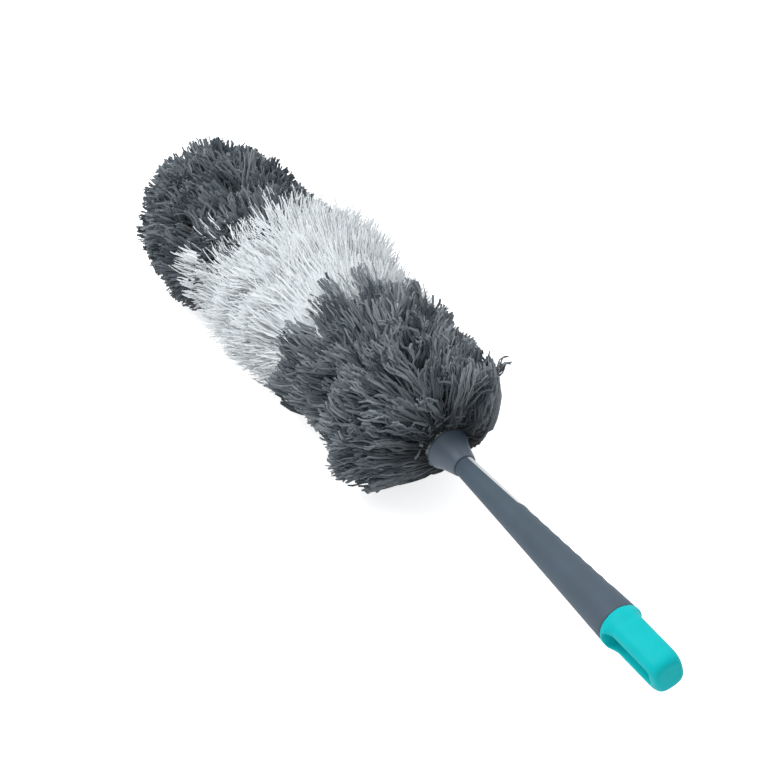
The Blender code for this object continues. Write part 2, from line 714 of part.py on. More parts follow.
def make_head_pile(parent, floor, grey, white, foam_start):
    """Three bands of tufts on one sleeve, the last closed over the tip."""
    bands = (("pile_base", grey, foam_start, -BASE_END, BASE_ROWS, FIRST_ROWS, 0.0),
             ("pile_middle", white, -BASE_END - GAP, -MIDDLE_END, MIDDLE_ROWS, (), MIDDLE_SWELL),
             ("pile_tip", grey, -MIDDLE_END - GAP, -CORE_CYLINDER_END, TIP_ROWS, (), 0.0))
    row = 0
    for name, finish, start, end, count, special, swell in bands:
        edges = [(u, BACKING_RADIUS) for u in stations(start, end, count)]
        leans = [TUFT_LEAN] * count
        radii = [PILE_RADIUS + swell * math.sin(math.pi * (i + 0.5) / count) for i in range(count)]
        for i, (lean, radius) in enumerate(special):
            leans[i] = math.radians(lean)
            radii[i] = radius
        closed = name == "pile_tip"
        if closed:
            for a in DOME_LATITUDES[1:]:
                turn = math.radians(a)
                edges.append((-CORE_CYLINDER_END - BACKING_RADIUS * math.sin(turn),
                              BACKING_RADIUS * math.cos(turn)))
            leans += [math.radians(a) for a in DOME_LEANS]
            radii += [PILE_RADIUS] * len(DOME_LEANS)
        roots = [middle_of(near, far) for near, far in zip(edges, edges[1:])]
        reaches = [tuft_reach(*each) for each in zip(roots, leans, radii)]
        pile = make_pile(name, parent, finish, edges, leans, reaches, row, closed)
        boolean(pile, floor)
        row += count


def build():
    clear_scene()
    soft_grey = material("soft_grey", (88, 101, 113), 0.62)
    collar_grey = material("collar_grey", (84, 96, 110), 0.50)
    core_white = material("core_white", (214, 216, 217), 0.45)
    turquoise = material("turquoise", (41, 208, 209), 0.48)
    steel = material("steel", (190, 193, 196), 0.25, 1.0)
    nylon = material("nylon", (225, 224, 218), 0.50)
    foam = material("foam", (70, 74, 78), 0.95)
    hem = material("hem", (140, 152, 150), 0.85)
    yarn_grey = material("yarn_grey", (80, 86, 90), 0.90)
    yarn_white = material("yarn_white", (222, 228, 230), 0.90)

    handle = frame("handle_frame", ROLL)
    slider = frame("slider_frame", ROLL)
    head = frame("head_frame", 0.0)

    make_core(handle, core_white)
    make_grip(handle, soft_grey)
    make_cap(handle, turquoise)
    make_guide(handle, steel, nylon)
    make_cam_ring(slider, nylon)
    make_lock(slider, nylon, steel)
    make_pole(head, steel)
    make_collar(head, collar_grey, steel)
    foam_start = make_head_core(head, core_white, foam, hem)
    floor = block("floor_cut", (2.0, 1.0, 0.1), None, (0.0, 0.0, -0.05))
    make_head_pile(head, floor, yarn_grey, yarn_white, foam_start)


build()
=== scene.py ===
"""Extendable microfibre duster lying on a pale studio floor."""
import math

import bmesh
import bpy
import numpy as np
from mathutils import Matrix, Vector


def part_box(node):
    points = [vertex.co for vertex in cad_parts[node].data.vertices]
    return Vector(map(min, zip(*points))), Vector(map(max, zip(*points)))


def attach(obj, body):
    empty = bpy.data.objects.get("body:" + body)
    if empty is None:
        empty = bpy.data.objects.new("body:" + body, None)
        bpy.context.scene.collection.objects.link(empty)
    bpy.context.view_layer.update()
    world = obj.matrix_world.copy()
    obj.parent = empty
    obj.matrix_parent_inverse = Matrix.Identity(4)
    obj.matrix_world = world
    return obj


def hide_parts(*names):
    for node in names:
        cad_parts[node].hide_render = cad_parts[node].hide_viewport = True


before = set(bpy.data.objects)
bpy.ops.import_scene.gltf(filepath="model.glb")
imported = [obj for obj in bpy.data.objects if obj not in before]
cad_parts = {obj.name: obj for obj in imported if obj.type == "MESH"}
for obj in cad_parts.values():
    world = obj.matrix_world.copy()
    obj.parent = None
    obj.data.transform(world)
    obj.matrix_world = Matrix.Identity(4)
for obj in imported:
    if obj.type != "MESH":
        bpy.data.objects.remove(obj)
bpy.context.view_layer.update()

# Handle core
# Hard white taper that the soft grip is moulded over. Injection-moulded
# polypropylene; its raised tongue fills the thumb window of the grip.

GAP = 0.0003  # clearance between neighbouring pieces
SEAM_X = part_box("neck_collar")[1][0] + GAP  # seam between collar and grip
AXIS_Z = 0.5 * (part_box("guide_tube")[0][2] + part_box("guide_tube")[1][2])
ROLL = math.radians(16.5)  # thumb side above level
GRIP_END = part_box("grip_sleeve")[1][0] - SEAM_X


def place(u, side, up):
    """World points: u along the axis from the seam, side and up turned by the roll."""
    y = side * math.cos(ROLL) - up * math.sin(ROLL)
    z = side * math.sin(ROLL) + up * math.cos(ROLL) + AXIS_Z
    return np.stack([u + SEAM_X, y, z], axis=-1)


def turned_about(u, radius, angle):
    """World points on rings: radius out from the axis, angle from the thumb side."""
    return place(u, radius * np.cos(angle), radius * np.sin(angle))


def grid_faces(rows, columns, wrap):
    """Quads of a rows by columns grid of points, joined round when wrap is set."""
    across = columns if wrap else columns - 1
    i, j = np.meshgrid(np.arange(rows - 1), np.arange(across), indexing="ij")
    k = (j + 1) % columns
    quads = np.stack([i * columns + j, i * columns + k, (i + 1) * columns + k,
                      (i + 1) * columns + j], axis=-1)
    return quads.reshape(-1, 4)


def ring_faces(rows, columns):
    """Quads of a rows by columns grid of points that is joined round both ways."""
    i, j = np.meshgrid(np.arange(rows), np.arange(columns), indexing="ij")
    i_next, j_next = (i + 1) % rows, (j + 1) % columns
    quads = np.stack([i * columns + j, i_next * columns + j, i_next * columns + j_next,
                      i * columns + j_next], axis=-1)
    return quads.reshape(-1, 4)


def ring_profile(outline, segments=72):
    """Points and quads of a closed (u, radius) outline turned about the long axis."""
    outline = np.array(outline)
    angle = np.linspace(0, 2 * math.pi, segments, endpoint=False)
    u = np.repeat(outline[:, :1], segments, axis=1)
    points = turned_about(u, outline[:, 1:], angle[None, :]).reshape(-1, 3)
    return points, ring_faces(len(outline), segments)


def mesh_from(name, points, quads, triangles=None):
    """Mesh from arrays of points and of quads, with triangles after them."""
    faces = [quads] if triangles is None else [quads, triangles]
    corners = np.concatenate([some.reshape(-1) for some in faces]).astype(np.int32)
    totals = np.repeat([4, 3][:len(faces)], [len(some) for some in faces]).astype(np.int32)
    mesh = bpy.data.meshes.new(name)
    mesh.vertices.add(len(points))
    mesh.vertices.foreach_set("co", np.ascontiguousarray(points, dtype=np.float32).reshape(-1))
    mesh.loops.add(len(corners))
    mesh.loops.foreach_set("vertex_index", corners)
    mesh.polygons.add(len(totals))
    starts = np.concatenate([[0], np.cumsum(totals)[:-1]]).astype(np.int32)
    mesh.polygons.foreach_set("loop_start", starts)
    mesh.polygons.foreach_set("use_smooth", np.ones(len(totals), dtype=bool))
    mesh.update(calc_edges=True)
    mesh.validate()
    return mesh


def clean(mesh, sharp=40.0):
    """Merge doubles, drop flat faces, turn normals outward, keep real edges sharp."""
    bm = bmesh.new()
    bm.from_mesh(mesh)
    bmesh.ops.remove_doubles(bm, verts=bm.verts, dist=0.000002)
    bmesh.ops.dissolve_degenerate(bm, edges=bm.edges, dist=0.0000005)
    bmesh.ops.recalc_face_normals(bm, faces=bm.faces)
    bm.to_mesh(mesh)
    bm.free()
    mesh.set_sharp_from_angle(angle=math.radians(sharp))
    return mesh


def piece(mesh, material, body, node_name):
    """Object for a finished mesh: its material, the body it rides and the node it shows."""
    thing = bpy.data.objects.new(mesh.name, mesh)
    bpy.context.scene.collection.objects.link(thing)
    mesh.materials.append(material)
    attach(thing, body)
    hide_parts(node_name)
    return thing


def linear(code):
    """Linear RGBA of an sRGB hex colour."""
    c = np.array([int(code[i:i + 2], 16) for i in (1, 3, 5)]) / 255.0
    c = np.where(c <= 0.04045, c / 12.92, ((c + 0.055) / 1.055) ** 2.4)
    return (float(c[0]), float(c[1]), float(c[2]), 1.0)


def node(tree, kind, settings=None, inputs=None, links=None):
    """Add one node, with attribute settings, socket values and incoming links."""
    made = tree.nodes.new(kind)
    for key, value in (settings or {}).items():
        setattr(made, key, value)
    for key, value in (inputs or {}).items():
        made.inputs[key].default_value = value
    for key, source in (links or {}).items():
        tree.links.new(source, made.inputs[key])
    return made


def finish(name, colour, roughness, metallic=0.0, ior=1.5, **sockets):
    """Principled material with its plain values; returns it, its tree and its shader."""
    made = bpy.data.materials.new(name)
    made.use_nodes = True
    tree = made.node_tree
    shader = tree.nodes["Principled BSDF"]
    shader.inputs["Base Color"].default_value = linear(colour)
    shader.inputs["Roughness"].default_value = roughness
    shader.inputs["Metallic"].default_value = metallic
    shader.inputs["IOR"].default_value = ior
    for key, value in sockets.items():
        shader.inputs[key.replace("_", " ")].default_value = value
    return made, tree, shader


def ramp(tree, source, dark, light, low=0.0, high=1.0):
    """Colour between two, as a node's output goes from low to high."""
    made = node(tree, "ShaderNodeValToRGB", None, None, {"Fac": source})
    first, last = made.color_ramp.elements
    first.position, last.position = low, high
    first.color, last.color = linear(dark), linear(light)
    return made.outputs["Color"]


def mottle(tree, shader, dark, light, scale, detail=3.0):
    """Tint between two colours by a soft noise; returns its Object coordinates."""
    where = node(tree, "ShaderNodeTexCoord").outputs["Object"]
    noise = node(tree, "ShaderNodeTexNoise", None, {"Scale": scale, "Detail": detail},
                 {"Vector": where})
    tint = ramp(tree, noise.outputs["Fac"], dark, light, low=0.3, high=0.7)
    tree.links.new(tint, shader.inputs["Base Color"])
    return where


def bumped(tree, shader, source, height, strength):
    """Bump the surface by a node's output, its height in metres."""
    bump = node(tree, "ShaderNodeBump", None, {"Strength": strength, "Distance": height},
                {"Height": source})
    tree.links.new(bump.outputs["Normal"], shader.inputs["Normal"])


def grain(tree, shader, where, size, height, strength=0.4):
    """Moulded skin grain: noise bump, size and height in metres."""
    noise = node(tree, "ShaderNodeTexNoise", None, {"Scale": 1.0 / size, "Detail": 2.0},
                 {"Vector": where})
    bumped(tree, shader, noise.outputs["Fac"], height, strength)


# Polypropylene from a polished mould: white, a little cold, with a satin glow.
core_white, tree, shader = finish("moulded_white_polypropylene", "#D9DBDC", 0.38, ior=1.49,
                                  Subsurface_Weight=0.08, Subsurface_Scale=0.002)
where = mottle(tree, shader, "#D5D7D9", "#DCDDDE", scale=60.0)
grain(tree, shader, where, size=0.0009, height=0.00001)

GRIP_LENGTH = 0.207
NECK_RADIUS, BUTT_RADIUS, WAIST = 0.00875, 0.0170, 0.0011
WALL_NECK, WALL_BUTT = 0.0009, 0.0024
WINDOW_LENGTH, WINDOW_ANGLE, WINDOW_TAPER, WINDOW_ROUND = 0.071, math.radians(64), 0.21, 0.0042
WINDOW_PLAY, TONGUE_RECESS, TONGUE_WALL, TONGUE_ROLL = 0.00045, 0.0004, 0.0012, 0.00012
TONGUE_ROWS, TONGUE_COLUMNS = 48, 41
BORE_DEPTH, BORE_START = 0.0019, 0.057  # depth of the hollow under the grip's wall
SOCKET_RADIUS, SOCKET_START, SOCKET_END = 0.0068, 0.0049, 0.045  # holds the guide tube
MOUTH_RADIUS = 0.0052


def grip_radius(u):
    """Outside of the grip: a straight taper, drawn in a little half way."""
    t = u / GRIP_LENGTH
    return NECK_RADIUS + (BUTT_RADIUS - NECK_RADIUS) * t - WAIST * t * (1 - t)


def grip_wall(u):
    """Thickness of the grip, growing from the neck to the butt."""
    return WALL_NECK + (WALL_BUTT - WALL_NECK) * u / GRIP_LENGTH


def window_length(play):
    """Length of the thumb window, or of a tongue in it with some play."""
    return WINDOW_LENGTH - play * 1.5


def window_half(u, play=0.0):
    """Half angle of the thumb window at u: narrows evenly, then ends in a quarter round."""
    length = window_length(play)
    drawn_in = 1 - WINDOW_TAPER * np.clip(u / length, 0, 1)
    ending = np.clip((u - length + WINDOW_ROUND) / WINDOW_ROUND, 0, 1)
    return (WINDOW_ANGLE - play / NECK_RADIUS) * drawn_in * np.sqrt(1 - ending ** 2)


def window_rows(count, play=0.0):
    """Stations from the seam to the window's end, closer together at its round end."""
    turn = np.linspace(0, math.pi / 2, count)
    return GAP + (window_length(play) - GAP) * np.sin(turn)


def tongue_slab():
    """Points and quads of the tongue: a skin rolled down at its edges, and an underside."""
    rows, across = window_rows(TONGUE_ROWS, WINDOW_PLAY), np.linspace(-1, 1, TONGUE_COLUMNS)
    angle = window_half(rows, WINDOW_PLAY)[:, None] * across[None, :]
    u = np.repeat(rows[:, None], TONGUE_COLUMNS, axis=1)
    radius = grip_radius(u) - (TONGUE_RECESS + TONGUE_ROLL * np.abs(across[None, :]) ** 10)
    skin, under = turned_about(u, radius, angle), turned_about(u, radius - TONGUE_WALL, angle)
    slab = np.concatenate([skin, under[:, ::-1]], axis=1)
    j, last = np.arange(TONGUE_COLUMNS - 1), 2 * TONGUE_COLUMNS - 1
    front = np.stack([j, j + 1, last - 1 - j, last - j], axis=-1)
    return slab.reshape(-1, 3), np.concatenate([grid_faces(TONGUE_ROWS, last + 1, True), front])


outer = [(u, grip_radius(u) - grip_wall(u) - GAP) for u in np.linspace(GAP, GRIP_END, 30)]
inner = [(u, grip_radius(u) - grip_wall(u) - BORE_DEPTH)
         for u in np.linspace(GRIP_END, BORE_START, 10)]
mouth = [(SOCKET_END, SOCKET_RADIUS), (SOCKET_START, SOCKET_RADIUS),
         (SOCKET_START, MOUTH_RADIUS), (GAP, MOUTH_RADIUS)]
tongue_points, tongue_quads = tongue_slab()
body_points, body_quads = ring_profile(outer + inner + mouth)
points = np.concatenate([tongue_points, body_points])
quads = np.concatenate([tongue_quads, body_quads + len(tongue_points)])
core_mesh = clean(mesh_from("core_shell", points, quads))
piece(core_mesh, core_white, "handle", "handle_core")


# Soft grip
# Slate grey thermoplastic rubber moulded over the core, matte and slightly
# soft. A window for the thumb, then shallow scallops down to the butt.

RIB_START, RIB_PITCH, RIB_COUNT = 0.0736, 0.0134, 8
RIB_DEPTH, RIB_SPREAD = 0.00045, math.radians(70)
RIB_END = RIB_START + RIB_PITCH * RIB_COUNT
LIP_ROUND, LIP_DROP = 0.0006, 0.00022  # edge of the window: width eased, and drop
BUTT_ROUND, BUTT_DROP = 0.0010, 0.0005  # edge at the cap, the same way
PAST_WINDOW = 0.0008  # first station past the window's end
COLUMNS = 97

# Thermoplastic rubber off a spark-eroded mould: a fine even grain that dulls
# the light, drawn a little coarser than it is so that it shows.
soft_grey, tree, shader = finish("soft_touch_rubber_slate", "#4A5865", 0.60, ior=1.48,
                                 Specular_IOR_Level=0.35)
where = mottle(tree, shader, "#485763", "#4D5B68", scale=45.0, detail=4.0)
grain(tree, shader, where, size=0.0006, height=0.00003, strength=0.5)


def rib_drop(u, angle):
    """Scoop depth: half waves along u, fading as a cosine away from the thumb side."""
    place_in = (u - RIB_START) / RIB_PITCH
    inside = (place_in > 0) & (place_in < RIB_COUNT) & (np.abs(angle) < RIB_SPREAD)
    wave = np.abs(np.sin(math.pi * place_in)) ** 0.8
    fade = np.cos(np.clip(angle / RIB_SPREAD, -1, 1) * math.pi / 2)
    return np.where(inside, RIB_DEPTH * wave * fade, 0.0)


window = window_rows(56)
ribs = RIB_START + RIB_PITCH * np.linspace(0, RIB_COUNT, 9 * RIB_COUNT + 1)
rows = np.concatenate([window, np.linspace(WINDOW_LENGTH + PAST_WINDOW, RIB_START, 4), ribs[1:],
                       np.linspace(RIB_END, GRIP_END - BUTT_ROUND, 7)[1:],
                       GRIP_END - BUTT_ROUND * np.array([0.6, 0.3, 0.1, 0.0])])
edge = np.where(rows < WINDOW_LENGTH, window_half(rows), 0.0)[:, None]
share = np.linspace(0, 1, COLUMNS)[None, :]
angle = edge + (2 * math.pi - 2 * edge) * share
signed = (angle + math.pi) % (2 * math.pi) - math.pi  # from minus pi to pi
u = np.repeat(rows[:, None], COLUMNS, axis=1)
from_edge = np.minimum(share, 1 - share) * (2 * math.pi - 2 * edge) * grip_radius(u)
lip = np.where(u < WINDOW_LENGTH, LIP_DROP * np.clip(1 - from_edge / LIP_ROUND, 0, 1) ** 2, 0)
butt = BUTT_DROP * np.clip(1 - (GRIP_END - u) / BUTT_ROUND, 0, 1) ** 2.2
outside = turned_about(u, grip_radius(u) - rib_drop(u, signed) - lip - butt, angle)
inside = turned_about(u, grip_radius(u) - grip_wall(u), angle)

skin = len(rows) * COLUMNS  # points of the outside, before the inside's
skin_quads = grid_faces(len(rows), COLUMNS, False)
j, r = np.arange(COLUMNS - 1), np.arange(len(window)) * COLUMNS
front_rim = np.stack([j, j + 1, j + 1 + skin, j + skin], axis=-1)
back_rim = front_rim + skin - COLUMNS
left = np.stack([r, r + COLUMNS, r + COLUMNS + skin, r + skin], axis=-1)
right = left + COLUMNS - 1
points = np.concatenate([outside.reshape(-1, 3), inside.reshape(-1, 3)])
quads = np.concatenate([skin_quads, skin_quads + skin, front_rim, back_rim, left, right])
grip_mesh = clean(mesh_from("grip", points, quads))
piece(grip_mesh, soft_grey, "handle", "grip_sleeve")


# End cap
# Turquoise loop, moulded in the same soft-touch plastic throughout. A ring at
# the seam eases into a flat-sided loop with a slot to hang it by.

CAP_START = GRIP_END + GAP
CAP_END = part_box("end_cap")[1][0] - SEAM_X
RING_ROUND, RING_LENGTH, NECK_LENGTH, LOOP_ROUND = 0.0006, 0.0046, 0.0100, 0.0108
RING_END = CAP_START + RING_LENGTH
NECK_END = RING_END + NECK_LENGTH
RING_RADIUS, RING_EDGE, RING_FLARE = 0.0165, 0.0007, 0.0003
RING_FULL = RING_RADIUS + RING_EDGE + RING_FLARE
LOOP_WIDTH, LOOP_HEIGHT, LOOP_TAPER = 0.0127, 0.0163, 0.0008  # half sizes past the neck
END_WIDTH, END_HEIGHT = 0.0042, 0.0070  # what the rounded end takes off them
SLOT_SETBACK, SLOT_LENGTH, SLOT_HALF = 0.0034, 0.0500, 0.0074
SLOT_CORNER, SLOT_RIM = 0.0032, 0.0012
AROUND, ACROSS, WALL_STEPS, RIM_STEPS = 300, 40, 7, 6

turquoise, tree, shader = finish("soft_touch_plastic_turquoise", "#00C8CB", 0.50, ior=1.49,
                                 Specular_IOR_Level=0.15)
where = mottle(tree, shader, "#00C4C7", "#04CBCE", scale=50.0)
grain(tree, shader, where, size=0.0007, height=0.00002)


def loop_half(u):
    """Half width, half height and power of the cap's rounded section at u.

    A ring with a rounded front edge, a neck that narrows as a sine and lowers as a
    smooth step, a loop with a slight taper, and an end that is drawn in roundly.
    """
    first = np.clip((u - CAP_START) / RING_ROUND, 0, 1)
    ringed = np.clip((u - CAP_START - RING_ROUND) / (RING_LENGTH - RING_ROUND), 0, 1)
    base = RING_RADIUS + RING_EDGE * first ** 0.5 + RING_FLARE * ringed
    t = np.clip((u - RING_END) / (NECK_END - RING_END), 0, 1)
    width = base + (LOOP_WIDTH - RING_FULL) * np.sin(t * math.pi / 2) ** 0.9
    height = base + (LOOP_HEIGHT - RING_FULL) * t * t * (3 - 2 * t)
    height = height - LOOP_TAPER * np.clip((u - NECK_END) / (CAP_END - LOOP_ROUND - NECK_END), 0, 1)
    s = np.clip((u - (CAP_END - LOOP_ROUND)) / LOOP_ROUND, 0, 1)
    inset = 1 - (1 - s ** 2.6) ** (1 / 2.6)
    return width - END_WIDTH * inset, height - END_HEIGHT * inset, 2 + 1.6 * t * (1 - 0.5 * s)


def side_height(u, up):
    """Distance from the slot's middle plane out to the loop's side, a superellipse."""
    width, height, power = loop_half(u)
    inside = np.clip(1 - np.abs(up / height) ** power, 0, 1)
    return width * inside ** (1 / power)


def slot_points(count):
    """Points and outward normals round the slot, evenly along its rounded outline.

    Each quarter of it runs straight and then turns a corner about that corner's centre.
    """
    middle = CAP_START - GAP + SLOT_SETBACK + SLOT_LENGTH / 2
    half = np.array([SLOT_LENGTH / 2 - SLOT_CORNER, SLOT_HALF - SLOT_CORNER])
    centres = (middle, 0) + half * np.array([(1, -1), (1, 1), (-1, 1), (-1, -1)])
    corner = SLOT_CORNER * math.pi / 2
    ends = np.cumsum(2 * np.tile(half, 2) + corner)
    s = np.linspace(0, ends[-1], count, endpoint=False)
    quarter = np.searchsorted(ends, s, side="right")
    straight = ends[quarter] - s - corner  # still to go, and less than nought on the corner
    turn = quarter * math.pi / 2
    along = np.stack([np.cos(turn), np.sin(turn)], axis=1)
    turn = turn + np.maximum(-straight, 0) / SLOT_CORNER
    normals = np.stack([np.sin(turn), -np.cos(turn)], axis=1)
    points = centres[quarter] - np.maximum(straight, 0)[:, None] * along + SLOT_CORNER * normals
    return points, normals


def way_out(at, out):
    """How far it is from points of the middle plane to the cap's outline, by halving."""
    near, far = np.zeros(len(at)), np.full(len(at), 0.07)
    for _ in range(44):
        middle = 0.5 * (near + far)
        u, up = at[:, 0] + middle * out[:, 0], at[:, 1] + middle * out[:, 1]
        hit = (u > CAP_START) & (u < CAP_END) & (np.abs(up) < loop_half(u)[1])
        near, far = np.where(hit, middle, near), np.where(hit, far, middle)
    return near


def both_sides(values, sign=1):
    """Values from the middle plane over one side, then back over the other side."""
    return np.concatenate([values, sign * values[:, -2:0:-1]], axis=1)


at, out = slot_points(AROUND)
s = np.linspace(0, 1, ACROSS)
spread = 1 - (1 - s ** 1.5) ** 2.4  # closer together at the slot and at the outline
reach = way_out(at, out)[:, None] * spread[None, :]
u = at[:, :1] + reach * out[:, :1]
up = at[:, 1:] + reach * out[:, 1:]
lip = np.clip(reach / SLOT_RIM, 0, 1)
height = side_height(u, up) - SLOT_RIM * (1 - np.sqrt(1 - (1 - lip) ** 2))
wall = np.linspace(0, 1, WALL_STEPS + 1)[None, :-1] * height[:, :1]
rim = height[:, -1:] * np.linspace(1, 0, RIM_STEPS + 1)[None, 1:]
side = both_sides(np.concatenate([wall, height, rim], axis=1), -1)
u, up = (both_sides(np.pad(values, ((0, 0), (WALL_STEPS, RIM_STEPS)), mode="edge"))
         for values in (u, up))
cap_mesh = mesh_from("hanging_loop", place(u, side, up).reshape(-1, 3), ring_faces(*u.shape))
piece(clean(cap_mesh), turquoise, "handle", "end_cap")


# Telescopic pole, guide and twist lock
# Thin chromed steel tube that slides in a drawn steel guide, with nylon bush,
# seat, stop and lock. Only the pole shows, once the handle is drawn out.

POLE_RADIUS, POLE_EDGE, POLE_BORE, POLE_CHAMFER = 0.0048, 0.0047, 0.00435, 0.0002
POLE_LOW, POLE_HIGH = (corner[0] - SEAM_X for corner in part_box("pole_tube"))

# Hard chrome over drawn steel: a bright mirror, faintly drawn along its length.
chrome, tree, shader = finish("chromed_steel_tube", "#C9CCD0", 0.16, metallic=1.0)
where = node(tree, "ShaderNodeTexCoord").outputs["Object"]
scaled = node(tree, "ShaderNodeMapping", None, {"Scale": (8.0, 900.0, 900.0)}, {"Vector": where})
streak = node(tree, "ShaderNodeTexNoise", None, {"Scale": 1.0, "Detail": 2.0},
              {"Vector": scaled.outputs["Vector"]})
bumped(tree, shader, streak.outputs["Fac"], height=0.00001, strength=0.15)

pole = [(POLE_LOW, POLE_RADIUS), (POLE_HIGH - POLE_CHAMFER, POLE_RADIUS), (POLE_HIGH, POLE_EDGE),
        (POLE_HIGH, POLE_BORE), (POLE_LOW, POLE_BORE)]
pole_mesh = clean(mesh_from("pole", *ring_profile(pole, 64)))
piece(pole_mesh, chrome, "pole", "pole_tube")

# Drawn mild steel, plain: grey, with fine scratches.
steel, tree, shader = finish("drawn_mild_steel", "#A9ACB0", 0.34, metallic=1.0)
where = mottle(tree, shader, "#A3A6AA", "#AFB2B6", scale=120.0)
grain(tree, shader, where, size=0.0004, height=0.00001)
# Natural nylon: cream white, waxy.
nylon, tree, shader = finish("natural_nylon", "#E1E0DA", 0.42, ior=1.53,
                             Subsurface_Weight=0.1, Subsurface_Scale=0.002)
where = mottle(tree, shader, "#DEDDD6", "#E4E3DE", scale=80.0)
grain(tree, shader, where, size=0.0008, height=0.00001)

for name in ("guide_tube", "lock_washer", "lock_screw", "collar_pin"):
    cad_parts[name].material_slots[0].material = steel
for name in ("mouth_bush", "tube_seat", "rear_stop", "cam_ring", "lock_plug"):
    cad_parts[name].material_slots[0].material = nylon


# Neck collar
# Slate polypropylene bell that covers the end of the yarn sleeve. The pole is
# pinned in its hub, which carries the head's core.

COLLAR_LENGTH, BELL_WALL = 0.0245, 0.0017
BELL_RADIUS, BELL_SLOPE = 0.0099, 0.27  # radius at the seam, and its growth
FLARE, FLARE_START = 0.0014, 0.014
HUB_BORE, HUB_RADIUS, HUB_START, HUB_END = 0.0051, 0.0092, 0.0105, 0.050

# Polypropylene from a satin mould, a touch smoother and bluer than the grip.
collar_grey, tree, shader = finish("satin_polypropylene_slate", "#54616F", 0.44, ior=1.49)
where = mottle(tree, shader, "#515E6C", "#576472", scale=70.0)
grain(tree, shader, where, size=0.0007, height=0.00001)


def collar_radius(u):
    """Outside of the bell: a steady slope with a flare added as a square."""
    flare = np.clip((-u - FLARE_START) / (COLLAR_LENGTH - FLARE_START), 0, 1)
    return BELL_RADIUS + BELL_SLOPE * -u + FLARE * flare ** 2


# Rounded face, outside, lip as a half round, inside and hub.
bell = [(-GAP, HUB_BORE), (-GAP, 0.0093), (-0.00035, 0.0096), (-0.0006, BELL_RADIUS)]
bell += [(u, collar_radius(u)) for u in np.linspace(-0.0009, -COLLAR_LENGTH, 28)]
bell += [(-COLLAR_LENGTH - 0.0009 * math.sin(a),
          collar_radius(-COLLAR_LENGTH) - BELL_WALL / 2 * (1 - math.cos(a)))
         for a in np.linspace(0, math.pi, 9)[1:]]
bell += [(u, collar_radius(u) - BELL_WALL)
         for u in np.linspace(-COLLAR_LENGTH + 0.0015, -0.012, 9)]
bell += [(-HUB_START, HUB_RADIUS), (-HUB_END, HUB_RADIUS), (-HUB_END, HUB_BORE)]
collar_mesh = clean(mesh_from("bell_collar", *ring_profile(bell, 96)))
piece(collar_mesh, collar_grey, "pole", "neck_collar")


# Core of the head
# White tube on the collar's hub, with a foam sleeve and a domed plug, and the
# knitted hem of the yarn sleeve drawn in behind the bell.

TUBE_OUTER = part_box("core_tube")[1][2] - AXIS_Z
FOAM_RADIUS, HEM_RADIUS, HEM_RIBS = 0.01715, 0.0186, 50

# Open-cell polyurethane foam: dull, dark, pitted.
foam, tree, shader = finish("polyurethane_foam", "#46494D", 0.95, ior=1.4)
where = mottle(tree, shader, "#3E4145", "#4D5054", scale=300.0)
cells = node(tree, "ShaderNodeTexVoronoi", None, {"Scale": 600.0}, {"Vector": where})
bumped(tree, shader, cells.outputs["Distance"], height=0.0008, strength=0.8)
# Knitted polyester tape: pale grey green, ribbed across.
hem, tree, shader = finish("knitted_polyester_tape", "#8C9896", 0.85, ior=1.46,
                           Sheen_Weight=0.2, Sheen_Roughness=0.5)
where = mottle(tree, shader, "#84908E", "#96A2A0", scale=400.0)
rib = node(tree, "ShaderNodeTexWave", {"bands_direction": "Z"}, {"Scale": 160.0, "Distortion": 1.0},
           {"Vector": where})
bumped(tree, shader, rib.outputs["Fac"], height=0.0003, strength=0.6)

for name in ("core_tube", "core_tip"):
    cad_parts[name].material_slots[0].material = core_white


def tube_shell(outer, inner):
    """Points and quads of a closed tube: rings of its outer wall, then of its inner."""
    shell = np.concatenate([outer, inner[::-1]], axis=0)
    rows, columns = shell.shape[:2]
    first = np.arange(columns)
    last = first + (rows - 1) * columns
    closing = np.stack([last, np.roll(last, -1), np.roll(first, -1), first], axis=-1)
    return shell.reshape(-1, 3), np.concatenate([grid_faces(rows, columns, True), closing])


def sleeve_on_tube(name, node_name, rows, columns, profile):
    """Sleeve round the core tube, as long as its node, its outside from a profile."""
    low, high = (corner[0] - SEAM_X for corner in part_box(node_name))
    along, turn = np.meshgrid(np.linspace(0, 1, rows),
                              np.linspace(0, 2 * math.pi, columns, endpoint=False), indexing="ij")
    u = high + (low - high) * along
    outer = turned_about(u, profile(along, u, turn), turn)
    inner = turned_about(u, TUBE_OUTER + GAP + 0 * u, turn)[[0, -1]]
    return clean(mesh_from(name, *tube_shell(outer, inner)), 80.0)


def foam_profile(along, u, turn):
    """Cut foam: three slow waves over the skin, and its ends eased off."""
    waves = (np.sin(310 * u + 3 * turn) + np.sin(470 * u - 5 * turn + 1.0)
             + np.sin(190 * u + 8 * turn + 2.0)) / 3
    ends = np.clip(np.abs(2 * along - 1) - 0.99, 0, 1) / 0.01
    return FOAM_RADIUS + 0.00025 * waves - 0.0008 * ends ** 2


def hem_profile(along, u, turn):
    """Knitted hem: a low crown across its width, and ribs round it."""
    return HEM_RADIUS + 0.0004 * (1 - (2 * along - 1) ** 2) + 0.00018 * np.cos(HEM_RIBS * turn)


foam_mesh = sleeve_on_tube("foam_sleeve", "core_foam", 110, 72, foam_profile)
foam_sleeve = piece(foam_mesh, foam, "pole", "core_foam")
hem_mesh = sleeve_on_tube("ribbed_hem", "sleeve_hem", 9, 400, hem_profile)
piece(hem_mesh, hem, "pole", "sleeve_hem")


# Yarn head
# Microfibre yarn sewn in rows on a knitted sleeve: dark grey, white, dark grey.
# Tufts of strands leave their row steeply and bend over towards the tip.

